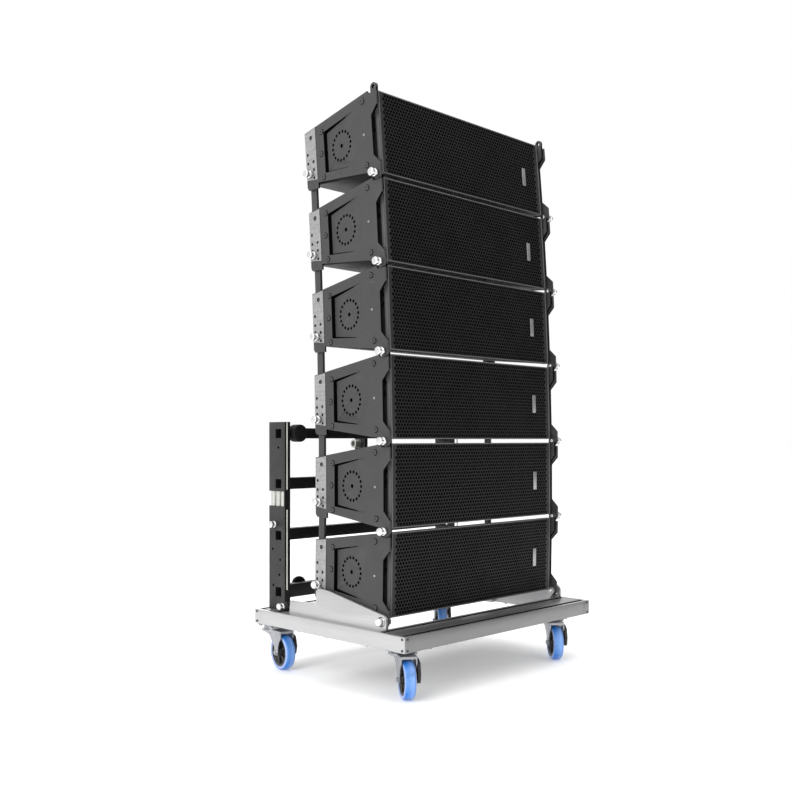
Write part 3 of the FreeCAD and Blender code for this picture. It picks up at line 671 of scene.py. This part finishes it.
def screw_tree():
    """A head with a driver socket at every point, turned to face the point's aim."""
    tree = Tree("screw_heads", {
        "Radius": ("Float", 0.005), "Height": ("Float", 0.003), "Sides": ("Int", 16),
        "Socket": ("Float", 0.5), "Dome": ("Float", 0.8), "Material": ("Material", None)})
    half = tree.math("DIVIDE", tree["Height"], 2.0)
    head = tree.add("GeometryNodeMeshCylinder", Vertices=tree["Sides"],
                    Radius=tree["Radius"], Depth=half)
    lifted = tree.add("GeometryNodeTransform", Geometry=head,
                      Translation=tree.add("ShaderNodeCombineXYZ", Z=tree.math(
                          "DIVIDE", half, 2.0)))
    dome = tree.add("GeometryNodeExtrudeMesh", {"mode": "FACES"}, Mesh=lifted,
                    Selection=head.outputs["Top"], Offset_Scale=half)
    taper = tree.add("GeometryNodeScaleElements", Geometry=dome,
                     Selection=dome.outputs["Top"], Scale=tree["Dome"])
    rim = tree.add("GeometryNodeExtrudeMesh", {"mode": "FACES"}, Mesh=taper,
                   Selection=dome.outputs["Top"], Offset_Scale=0.0)
    mouth = tree.add("GeometryNodeScaleElements", Geometry=rim,
                     Selection=rim.outputs["Top"], Scale=tree["Socket"])
    well = tree.add("GeometryNodeExtrudeMesh", {"mode": "FACES"}, Mesh=mouth,
                    Selection=rim.outputs["Top"],
                    Offset_Scale=tree.math("MULTIPLY", half, -1.2))
    points = tree.add("GeometryNodeMeshToPoints", Mesh=tree["Geometry"])
    aimed = tree.add("GeometryNodeInputNamedAttribute", {"data_type": "FLOAT_VECTOR"},
                     Name="aim")
    turn = tree.add("FunctionNodeAlignRotationToVector", {"axis": "Z"},
                    Vector=aimed.outputs["Attribute"])
    heads = tree.add("GeometryNodeInstanceOnPoints", Points=points,
                     Instance=well, Rotation=turn)
    tree.finish(heads)
    return tree


TREES = {}


def tree(recipe):
    if recipe.__name__ not in TREES:
        TREES[recipe.__name__] = recipe()
    return TREES[recipe.__name__]


def heads(name, spots, paint, radius, height, sides=16, socket=0.5, dome=0.8):
    """Screw heads at (place, direction) spots, as one mesh."""
    mesh = bpy.data.meshes.new(name)
    mesh.from_pydata([tuple(place) for place, way in spots], [], [])
    ways = mesh.attributes.new("aim", "FLOAT_VECTOR", "POINT")
    for item, (place, way) in zip(ways.data, spots):
        item.vector = tuple(way)
    return tree(screw_tree).grow(
        mesh, name, Radius=radius, Height=height, Sides=sides, Socket=socket, Dome=dome,
        Material=paint)


# ---------------------------------------------------------------- the cabinets' own frames

def cabinet_frames():
    """Each cabinet's frame: origin on its front pin axis, X right, Y back, Z up the box."""
    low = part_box("cabinet_6_pins_right")[0]
    pins = {6: Vector((0, low.y + PIN_KNOB, low.z + PIN_KNOB))}
    for number in range(5, 0, -1):
        pins[number] = Vector(JOINTS[f"splay_{number}"]["pos_m"])
    eye = Vector(MOUNTS["top_link_eye_right"]["pos_m"])
    pins[0] = Vector((0, eye.y, eye.z))
    frames = {}
    for number in CABINETS:
        rise = pins[number - 1] - pins[number]
        lean = math.atan2(rise.y, rise.z)
        frames[number] = (Matrix.Translation(pins[number])
                          @ Matrix.Rotation(-lean, 4, "X"))
    return frames


FRAMES = cabinet_frames()


def host(number):
    """The body that a cabinet belongs to: the lowest one is fixed to the dolly."""
    return "dolly" if number == 6 else f"cabinet_{number}"


def local_box(node, number):
    """A node's corners in its cabinet's own frame."""
    back = FRAMES[number].inverted()
    spots = [back @ vert.co for vert in frame["nodes"][node].data.vertices]
    return Vector(map(min, zip(*spots))), Vector(map(max, zip(*spots)))


# ---------------------------------------------------------------- operators: cabinets

class LINEARRAY_OT_boxes(bpy.types.Operator):
    """Coat the wooden boxes and fit their connector panels"""
    bl_idname = "linearray.boxes"
    bl_label = "Boxes"

    def execute(self, context):
        sizes = context.scene.linearray_cabinet
        paint = material(coating, sizes.coating)
        for number in CABINETS:
            node = f"cabinet_{number}_enclosure"
            dress(node, f"cabinet_{number}_box", host(number), "cabinet_coating", [paint],
                  sizes.bevel)
            self.rear_panel(number)
        return {"FINISHED"}

    def rear_panel(self, number):
        """Recessed plate with two round connectors and its corner screws."""
        at = FRAMES[number]
        back = local_box(f"cabinet_{number}_enclosure", number)[1].y
        face = back - 5 * MM
        bm = bmesh.new()
        brick(bm, (-72 * MM, face - 0.5 * MM, DRIVER_Z - 37 * MM),
              (72 * MM, face + 2 * MM, DRIVER_Z + 37 * MM), at)
        soften(bm, 0.8 * MM)
        for x in (-32 * MM, 32 * MM):
            profile = [(2, 0), (2, 9), (5.5, 9), (5.5, 13), (4, 14.5), (1.5, 14.5)]
            lathe(bm, [(a * MM, r * MM) for a, r in profile],
                  at @ aim((0, 1, 0), (x, face, DRIVER_Z)), 32)
            brick(bm, (x - 4 * MM, face + 1.5 * MM, DRIVER_Z - 4 * MM),
                  (x + 4 * MM, face + 3.6 * MM, DRIVER_Z + 4 * MM), at)
        show(f"cabinet_{number}_connectors", mesh_from(bm, "connectors"), host(number),
             [material(black_plastic)])
        turn = at.to_3x3()
        spots = [(at @ Vector((x * MM, face + 2 * MM, DRIVER_Z + z * MM)),
                  turn @ Vector((0, 1, 0))) for x in (-64, 64) for z in (-30, 30)]
        mesh = heads("panel_screws", spots, material(screw_steel), 3.2 * MM, 1.6 * MM, 12)
        show(f"cabinet_{number}_panel_screws", mesh, host(number))


class LINEARRAY_OT_grilles(bpy.types.Operator):
    """Make the perforated grilles, their rims, side strips, foam and badges"""
    bl_idname = "linearray.grilles"
    bl_label = "Grilles"

    def execute(self, context):
        sizes = context.scene.linearray_cabinet
        paint = material(grille_paint, sizes.grille)
        low, high = local_box("cabinet_3_grille", 3)
        rows, columns = lattice(sizes, low, high)
        start = bpy.data.meshes.new("sheet_start")
        sheet = tree(perforation_tree).grow(
            start, "perforated_sheet", Columns=columns, Rows=rows, Pitch=sizes.hole_pitch,
            Hole_Share=sizes.hole_share, Thickness=sizes.sheet_thick, Material=paint)
        for number in CABINETS:
            self.front(number, sizes, sheet, low, high, paint)
        return {"FINISHED"}

    def front(self, number, sizes, sheet, low, high, paint):
        at, body, face = FRAMES[number], host(number), low.y
        mesh = sheet.copy()
        middle = Vector((-sizes.hole_pitch / 4, face + 2.6 * MM, (low.z + high.z) / 2))
        mesh.transform(at @ Matrix.Translation(middle))
        show(f"cabinet_{number}_grille_sheet", mesh, body,
             nodes=[f"cabinet_{number}_grille"])
        # folded rim: a lip above and below, returned to the box
        # Painted highlight: the rim's lips and the end beads take a pale grey that stands for the light
        # along the grille's folded edges.
        bright = material(strip_paint, sizes.strip)
        deep = high.y - 0.3 * MM
        lips = [span_of(z, z + lip) for z, lip in ((low.z, sizes.rim_wide),
                                                   (high.z, -sizes.rim_wide))]
        slab(f"cabinet_{number}_grille_rim", body, bright,
             [((low.x, face, foot), (high.x, face + 2 * MM, head)) for foot, head in lips],
             at, 0.7 * MM)
        bm = bmesh.new()
        for z, lip in ((low.z, 2 * MM), (high.z, -2 * MM)):
            brick(bm, (low.x, face + 1 * MM, min(z, z + lip)),
                  (high.x, deep, max(z, z + lip)), at)
        for side in SIDES.values():
            near, far = span_of(side * high.x, side * (high.x - 2 * MM))
            brick(bm, (near, face + 1 * MM, low.z + 1 * MM), (far, deep, high.z - 1 * MM), at)
        # Painted light: the return's outer side faces take the rim grey at 1.9 times its brightness,
        # standing for the light they catch.
        for piece in bm.faces:
            piece.material_index = int(abs((at.inverted() @ piece.calc_center_median()).x)
                                       > high.x - 0.1 * MM)
        show(f"cabinet_{number}_grille_return", mesh_from(bm, "grille_return"), body,
             [paint, material(strip_paint, shade(tuple(sizes.strip), 1.9))])
        bm = bmesh.new()
        for side in SIDES.values():
            self.strip(bm, side, sizes, low, high, at)
        soften(bm, 0.5 * MM, 1)
        show(f"cabinet_{number}_side_strips", mesh_from(bm, "side_strips"), body,
             [material(strip_paint, sizes.strip_side)])
        # Painted highlight: pale beads at both ends of the grille's front.
        ends = [span_of(side * high.x, side * (high.x - 5 * MM)) for side in SIDES.values()]
        slab(f"cabinet_{number}_end_beads", body, bright,
             [((near, face - 0.1 * MM, low.z + 1 * MM), (far, face + 1.2 * MM, high.z - 1 * MM))
              for near, far in ends], at, 0.4 * MM)
        inset = sizes.strip_wide - 1 * MM
        slab(f"cabinet_{number}_foam", body, material(foam),
             [((low.x + inset, face + 3.4 * MM, low.z + 3 * MM),
               (high.x - inset, face + 6.4 * MM, high.z - 3 * MM))], at)
        slab(f"cabinet_{number}_badge", body, material(badge_metal),
             [((258 * MM, face - 1.6 * MM, 84 * MM), (273 * MM, face + 0.8 * MM, 137 * MM))],
             at, 1.0 * MM, 3)

    def strip(self, bm, side, sizes, low, high, at):
        """Plain strip whose inner edge follows the staggered cells beside it."""
        rows, columns = lattice(sizes, low, high)
        pitch, middle = sizes.hole_pitch, (low.z + high.z) / 2
        gap = pitch * math.sqrt(3) / 2
        spots = []
        for row in range(-(rows // 2), rows // 2 + 1):
            stagger = pitch / 4 if row % 2 else -pitch / 4
            x = stagger + side * columns * pitch / 2
            spots += [(x, middle + row * gap - gap / 3), (x, middle + row * gap + gap / 3)]
        outer = side * high.x
        spots = ([(outer, low.z + 1 * MM), (spots[0][0], low.z + 1 * MM)] + spots
                 + [(spots[-1][0], high.z - 1 * MM), (outer, high.z - 1 * MM)])
        front = [bm.verts.new(at @ Vector((x, low.y + 0.7 * MM, z))) for x, z in spots]
        back = [bm.verts.new(at @ Vector((x, low.y + 2.6 * MM, z))) for x, z in spots]
        faces = [bm.faces.new(front), bm.faces.new(list(reversed(back)))]
        for i in range(len(spots)):
            j = (i + 1) % len(spots)
            faces.append(bm.faces.new([front[j], front[i], back[i], back[j]]))
        bmesh.ops.recalc_face_normals(bm, faces=faces)


def lattice(sizes, low, high):
    """Rows and columns of perforations that fit a grille."""
    row_gap = sizes.hole_pitch * math.sqrt(3) / 2
    rows = int((high.z - low.z - 2 * sizes.rim_wide) / row_gap) // 2 * 2 + 1
    return rows, int((high.x - low.x - 2 * sizes.strip_wide) / sizes.hole_pitch)


class LINEARRAY_OT_rigging(bpy.types.Operator):
    """Paint the rigging plates, links, arms and index plates, and screw them on"""
    bl_idname = "linearray.rigging"
    bl_label = "Rigging"

    def execute(self, context):
        sizes = context.scene.linearray_rigging
        # The third paint is matt black painted shade for the recess walls and the bores.
        paints = [material(rigging_paint, sizes.paint), material(index_metal, sizes.label),
                  material(shade_and_seam_black)]
        for number in CABINETS:
            node = f"cabinet_{number}_side_plates"
            bm = own_copy(node)
            spots = []
            for shell in islands(bm):
                low, high = extent(shell)
                size = high - low
                if max(size.y, size.z) < 20 * MM and size.x < 5 * MM:      # a screw head
                    side = math.copysign(1, low.x)
                    spots.append((Vector((side * PLATE_HALF, (low.y + high.y) / 2,
                                          (low.z + high.z) / 2)),
                                  Vector((side, 0, 0)), size.z / 2))
                    bmesh.ops.delete(bm, geom=list({v for f in shell for v in f.verts}),
                                     context="VERTS")
                elif size.x < 3 * MM:
                    for face in shell:
                        face.material_index = 1
            self.hollows(bm)
            soften(bm, sizes.bevel)
            show(f"cabinet_{number}_rigging", mesh_from(bm, node + "_mesh"), host(number),
                 paints, [node])
            self.outlines(number)
            self.screws(number, spots, sizes)
        return {"FINISHED"}

    def hollows(self, bm):
        """Painted shade: the recess's sides and every hole's bore are matt black to stand for the shade
        inside them.
        """
        for face in bm.faces:
            inward = any(edge.is_manifold and not edge.is_convex for edge in face.edges)
            if abs(face.normal.x) < 0.5 and inward:
                face.material_index = 2

    def outlines(self, number):
        """Black shadow lines around the recess, the holes and the screws."""
        at = FRAMES[number]
        bm = bmesh.new()

        def ramp(y):
            depth = max(0.0, (y - RAMP_START) / RAMP_LONG * RAMP_DEEP + 0.2) * MM
            return PLATE_HALF - depth + 0.15 * MM

        def on_label(y):
            return PLATE_HALF + LABEL_THICK + 0.1 * MM

        def on_plate(y):
            return PLATE_HALF + 0.12 * MM

        for side in SIDES.values():
            def spot(y, z, plane):
                return bm.verts.new(at @ Vector((side * plane(y), y * MM, z * MM)))

            def patch(*points):
                bm.faces.new([spot(y, z, ramp) for y, z in points])

            def annulus(y, z, inner, outer, plane):
                turns = [(math.cos(math.tau * k / ROUND_STEPS),
                          math.sin(math.tau * k / ROUND_STEPS)) for k in range(ROUND_STEPS)]
                rims = [[spot(y + c * r, z + s * r, plane) for c, s in turns]
                        for r in (inner, outer)]
                for k in range(ROUND_STEPS):
                    bm.faces.new([rims[0][k - 1], rims[0][k], rims[1][k], rims[1][k - 1]])

            patch((105, 183), (195, 168), (195, 163), (105, 181))
            patch((105, 46), (195, 55), (195, 60), (105, 48))
            patch((190.5, 55), (195, 55), (195, 168), (190.5, 168))
            for k in range(RING_HOLES):
                turn = math.tau * k / RING_HOLES
                annulus(RING[0] + RING_RADIUS * math.cos(turn),
                        RING[1] + RING_RADIUS * math.sin(turn), 3.25, 4.1, ramp)
            annulus(*RING, 4.4, 5.4, ramp)
            for place in INDEX_HOLES:
                annulus(*place, 2.5, 4.0, on_label)
            annulus(*INDEX_EYE, 4.9, 6.0, on_label)
            for place in PLATE_SCREWS:
                annulus(*place, 5.0, 8.2, on_plate)
        for face in bm.faces:
            face.normal_update()
            if face.normal.x * face.calc_center_median().x < 0:
                face.normal_flip()
        show(f"cabinet_{number}_outlines", mesh_from(bm, "outlines"), host(number),
             [material(shade_and_seam_black)])

    def screws(self, number, spots, sizes):
        steels = {True: material(screw_steel), False: material(zinc)}
        for name, big in (("plate_screws", True), ("small_screws", False)):
            chosen = [(place, way) for place, way, radius in spots
                      if (radius > 5 * MM) == big]
            share = 1.0 if big else 0.55
            mesh = heads(name, chosen, steels[big], sizes.screw_radius * share,
                         sizes.screw_height * share)
            show(f"cabinet_{number}_{name}", mesh, host(number))


class LINEARRAY_OT_pins(bpy.types.Operator):
    """Turn the chromed pull pins of the cabinets and of the flying frame"""
    bl_idname = "linearray.pins"
    bl_label = "Pull pins"

    def execute(self, context):
        for number in CABINETS:
            for side in SIDES:
                self.pins(f"cabinet_{number}_pins_{side}", f"pins_{side}_{number}")
        for side in SIDES:
            self.pins(f"frame_pins_{side}", f"frame_pins_{side}")
        return {"FINISHED"}

    def pins(self, node, body):
        dress(node, node + "_turned", body, "chromed_pins", [material(chrome)],
              0.5 * MM, 2, 40, smooth=35)


class LINEARRAY_OT_drivers(bpy.types.Operator):
    """Finish the drivers behind the grilles"""
    bl_idname = "linearray.drivers"
    bl_label = "Drivers"

    def execute(self, context):
        for number in CABINETS:
            data = frame["nodes"][f"cabinet_{number}_drivers"].data
            data.materials.clear()
            data.materials.append(material(driver_cone))
        return {"FINISHED"}


# ---------------------------------------------------------------- operators: dolly and frame

class LINEARRAY_OT_deck(bpy.types.Operator):
    """Brush the dolly's rails and beams and fit its screws"""
    bl_idname = "linearray.deck"
    bl_label = "Deck"

    def execute(self, context):
        sizes = context.scene.linearray_dolly
        along = {"dolly_side_rail_left": "Y", "dolly_side_rail_right": "Y",
                 "dolly_front_beam": "X", "dolly_rear_beam": "X"}
        for node, axis in along.items():
            metal = material(brushed_metal, "brushed_along_" + axis.lower(),
                             tuple(sizes.metal), axis)
            # Painted shade: faces turned to the front or back get the brushed metal at half its brightness,
            # standing for the shade they are in.
            shaded_face = material(brushed_metal, "brushed_face_" + axis.lower(),
                           shade(tuple(sizes.metal), 0.5), "X")
            dress(node, node + "_brushed", "dolly", "dolly_aluminium", [metal, shaded_face],
                  sizes.bevel, paint=lambda face: abs(face.normal.y) > 0.9)
        self.covers(sizes)
        spots = []
        bm = own_copy("dolly_screws")
        for shell in islands(bm):
            low, high = extent(shell)
            size, middle = high - low, (low + high) / 2
            flat = min(range(3), key=lambda axis: size[axis])
            way = Vector((0, 0, 0))
            way[flat] = math.copysign(1, middle[flat]) if flat < 2 else -1
            spots.append((middle - way * size[flat] / 2, way))
        bm.free()
        corner = [spot for spot in spots if spot[1].z == 0]
        mesh = heads("deck_screws", corner, material(screw_steel), 3.5 * MM, 1.5 * MM)
        show("dolly_corner_screws", mesh, "dolly", nodes=["dolly_screws"])
        under = [spot for spot in spots if spot[1].z]
        mesh = heads("underside_bolts", under, material(zinc), 5 * MM, 5 * MM, 6, 0.3, 0.97)
        show("dolly_underside_bolts", mesh, "dolly")
        return {"FINISHED"}

    def covers(self, sizes):
        """Darker cover let into the top of each beam, with a black seam around it."""
        low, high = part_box("dolly_front_beam")
        top, seam, groove = high.z, 5 * MM, 15 * MM
        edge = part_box("dolly_side_rail_right")[1].x - 9 * MM
        cover, gasket = bmesh.new(), bmesh.new()
        for near in (low.y, -high.y):
            front, back = near + 9 * MM, near + (high.y - low.y) - 9 * MM
            brick(gasket, (-edge, front, top - 1.6 * MM), (edge, back, top - 1.3 * MM))
            brick(cover, (-edge + seam, front + groove, top - 1.4 * MM),
                  (edge - seam, back - groove, top - 0.1 * MM))
        soften(cover, 0.4 * MM)
        dark = material(brushed_metal, "brushed_cover", shade(tuple(sizes.metal), 0.55), "X")
        show("dolly_covers", mesh_from(cover, "covers"), "dolly", [dark])
        show("dolly_seams", mesh_from(gasket, "seams"), "dolly",
             [material(shade_and_seam_black)])


class LINEARRAY_OT_casters(bpy.types.Operator):
    """Build the swivel casters: forks, tyres, cores and brakes"""
    bl_idname = "linearray.casters"
    bl_label = "Casters"

    def execute(self, context):
        sizes = context.scene.linearray_dolly
        dress("caster_top_plates", "caster_plates", "dolly", "zinc_steel",
              [material(zinc)], 0.6 * MM)
        for corner in CORNERS:
            for part, recipe, slot in (("fork", zinc, "zinc_steel"),
                                       ("brake", black_plastic, "black_plastic")):
                node = f"{part}_{corner}"
                dress(node, node + "_pressed", node, slot, [material(recipe)], 0.7 * MM)
            self.wheel(corner, sizes)
        return {"FINISHED"}

    def wheel(self, corner, sizes):
        """Tyre with a crowned tread, spoked core and hub, about the rolling axis."""
        roll = JOINTS[f"roll_{corner}"]
        at = aim(roll["axis"], roll["pos_m"])
        steps = sizes.lathe_steps
        half = 15.0
        bm = bmesh.new()
        tread = [(-half + 2, 40), (-half, 42.5), (-half + 0.3, 45.5), (-half + 1.6, 48),
                 (-half + 4.5, 49.4), (-half + 8, 49.8), (0, 50), (half - 8, 49.8),
                 (half - 4.5, 49.4), (half - 1.6, 48), (half - 0.3, 45.5), (half, 42.5),
                 (half - 2, 40), (-half + 2, 40)]
        closed_lathe(bm, tread, at, steps)
        show(f"wheel_{corner}_tyre", mesh_from(bm, "tyre", 40), f"wheel_{corner}",
             [material(tyre, sizes.tyre)], [f"wheel_{corner}"])
        bm = bmesh.new()
        core = [(-17.5, 6.1), (-17.5, 13), (-8, 15), (-8, 28), (-10, 31), (-12.5, 34),
                (-13, 40), (13, 40), (12.5, 34), (10, 31), (8, 28), (8, 15), (17.5, 13),
                (17.5, 6.1), (-17.5, 6.1)]
        closed_lathe(bm, core, at, steps)
        for side in SIDES.values():
            near, far = span_of(side * 7 * MM, side * 13 * MM)
            for spoke in range(SPOKES):
                turn = at @ Matrix.Rotation(math.tau * spoke / SPOKES, 4, "X")
                brick(bm, (near, -2 * MM, 13.5 * MM), (far, 2 * MM, 32 * MM), turn)
        show(f"wheel_{corner}_core", mesh_from(bm, "core", 30), f"wheel_{corner}",
             [material(black_plastic)])


class LINEARRAY_OT_flying_frame(bpy.types.Operator):
    """Paint the stowed flying frame, its barrels and its bumpers"""
    bl_idname = "linearray.flying_frame"
    bl_label = "Flying frame"

    def execute(self, context):
        rigging = context.scene.linearray_rigging
        grey = material(rigging_paint, shade(tuple(rigging.paint), 0.5))
        black, barrel_and_highlight = material(black_paint), material(pale_metal)
        low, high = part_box("frame_uprights")

        def coat(face):
            middle = face.calc_center_median()
            outward = face.normal.x * math.copysign(1, middle.x)
            if BARRELS[0] < middle.z < BARRELS[1] and middle.y > low.y + 5.5 * MM:
                return 2
            return not (outward > 0.9 and abs(middle.x) > high.x - 2 * MM)

        dress("frame_uprights", "frame_posts", "dolly", "frame_paint", [grey, black, barrel_and_highlight],
              rigging.bevel, paint=coat)
        # Painted highlight: thin pale strips along the posts' front edges stand for the light line these
        # edges catch.
        strips = []
        for side in SIDES.values():
            near, far = span_of(side * high.x, side * high.x + side * 0.3 * MM)
            for foot, head in ((low.z + 60 * MM, 455 * MM), (512 * MM, high.z - 2 * MM)):
                strips.append(((near, low.y + 0.5 * MM, foot), (far, low.y + 5 * MM, head)))
        slab("frame_edge_highlights", "dolly", barrel_and_highlight, strips)
        dress("frame_crossbars", "frame_bars", "dolly", "frame_paint", [black],
              rigging.bevel)
        dress("frame_centre_bar", "frame_pick_up_bar", "dolly", "frame_paint",
              [black, barrel_and_highlight], rigging.bevel,
              paint=lambda face: face.calc_center_median().x < BOSS_FACE)
        dress("frame_bumpers", "frame_bumper_discs", "dolly", "bumper_rubber",
              [material(rubber)], 3 * MM, 3, 32, 0)
        return {"FINISHED"}


# ---------------------------------------------------------------- stage

class LINEARRAY_OT_stage(bpy.types.Operator):
    """Lay the floor, hang the soft lights and set the camera"""
    bl_idname = "linearray.stage"
    bl_label = "Stage"

    def execute(self, context):
        scene = context.scene
        self.floor()
        self.lights()
        scene.world = self.studio()
        scene.view_settings.view_transform = "Standard"
        data = bpy.data.cameras.new("camera")
        data.lens, data.sensor_width = 45.0, 36.0
        data.shift_y = 0.054
        data.clip_end = 200
        camera = bpy.data.objects.new("camera", data)
        camera.location = (-2.141, -1.989, 0.656)
        camera.rotation_euler = (math.radians(90), 0, math.radians(-45.36))
        scene.collection.objects.link(camera)
        scene.camera = camera
        return {"FINISHED"}

    def studio(self):
        """White all round, falling to grey towards the front right."""
        world = bpy.data.worlds.new("studio")
        world.use_nodes = True
        nodes, links = world.node_tree.nodes, world.node_tree.links
        way = nodes.new("ShaderNodeTexCoord")
        dot = nodes.new("ShaderNodeVectorMath")
        dot.operation = "DOT_PRODUCT"
        dot.inputs[1].default_value = (-0.7, 0.7, 0.15)
        fall = nodes.new("ShaderNodeMapRange")
        for socket, number in (("From Min", -0.95), ("From Max", -0.45), ("To Min", 0.1),
                               ("To Max", 1.0)):
            fall.inputs[socket].default_value = number
        sky = nodes["Background"]
        sky.inputs["Color"].default_value = (1, 1, 1, 1)
        links.new(way.outputs["Generated"], dot.inputs[0])
        links.new(dot.outputs["Value"], fall.inputs["Value"])
        links.new(fall.outputs["Result"], sky.inputs["Strength"])
        return world

    def floor(self):
        bm = bmesh.new()
        bmesh.ops.create_grid(bm, x_segments=1, y_segments=1, size=40)
        mesh = bpy.data.meshes.new("floor")
        bm.to_mesh(mesh)
        bm.free()
        look = Shader("floor_paint", (0.94, 0.94, 0.94), 0.8,
                      Emission_Color=(1.0, 1.0, 1.0, 1.0), Emission_Strength=0.14)
        look.emboss(look.grain(60), 0.0003, 0.1)
        mesh.materials.append(look.material)
        floor = bpy.data.objects.new("floor", mesh)
        bpy.context.scene.collection.objects.link(floor)

    def lights(self):
        """A broad key from the left, a weaker front fill and one from behind."""
        for name, spot, size, power in (
                ("key_left", (-4.2, -0.6, 2.6), 3.2, 90),
                ("fill_front", (0.8, -4.6, 2.4), 3.0, 20),
                ("top_soft", (0.4, 0.4, 4.6), 3.4, 60),
                ("rim_back", (2.8, 3.6, 2.2), 2.4, 40)):
            data = bpy.data.lights.new(name, "AREA")
            data.shape, data.size, data.energy = "SQUARE", size, power
            light = bpy.data.objects.new(name, data)
            light.location = spot
            way = Vector((0, 0, 0.75)) - Vector(spot)
            light.rotation_euler = way.to_track_quat("-Z", "Y").to_euler()
            bpy.context.scene.collection.objects.link(light)


# ---------------------------------------------------------------- panel and registration

STEPS = ("boxes", "grilles", "rigging", "pins", "drivers", "deck", "casters",
         "flying_frame", "stage")


class LINEARRAY_PT_panel(bpy.types.Panel):
    """Buttons and sizes for the line array speaker"""
    bl_label = "Line Array"
    bl_idname = "LINEARRAY_PT_panel"
    bl_space_type = "VIEW_3D"
    bl_region_type = "UI"
    bl_category = "Line Array"

    def draw(self, context):
        for step in STEPS:
            self.layout.operator(f"linearray.{step}")
        for group in ("linearray_cabinet", "linearray_rigging", "linearray_dolly"):
            sizes = getattr(context.scene, group)
            box = self.layout.box()
            for name in sizes.__annotations__:
                box.prop(sizes, name)


GROUPS = {"linearray_cabinet": CabinetSizes, "linearray_rigging": RiggingSizes,
          "linearray_dolly": DollySizes}
CLASSES = (*GROUPS.values(), LINEARRAY_OT_boxes, LINEARRAY_OT_grilles,
           LINEARRAY_OT_rigging, LINEARRAY_OT_pins, LINEARRAY_OT_drivers,
           LINEARRAY_OT_deck, LINEARRAY_OT_casters, LINEARRAY_OT_flying_frame,
           LINEARRAY_OT_stage, LINEARRAY_PT_panel)


def register():
    for one in CLASSES:
        bpy.utils.register_class(one)
    for name, group in GROUPS.items():
        setattr(bpy.types.Scene, name, PointerProperty(type=group))


def unregister():
    for name in GROUPS:
        delattr(bpy.types.Scene, name)
    for one in reversed(CLASSES):
        bpy.utils.unregister_class(one)


def main():
    register()
    for step in STEPS:
        getattr(bpy.ops.linearray, step)()
    bpy.context.view_layer.update()


if __name__ == "__main__":
    main()
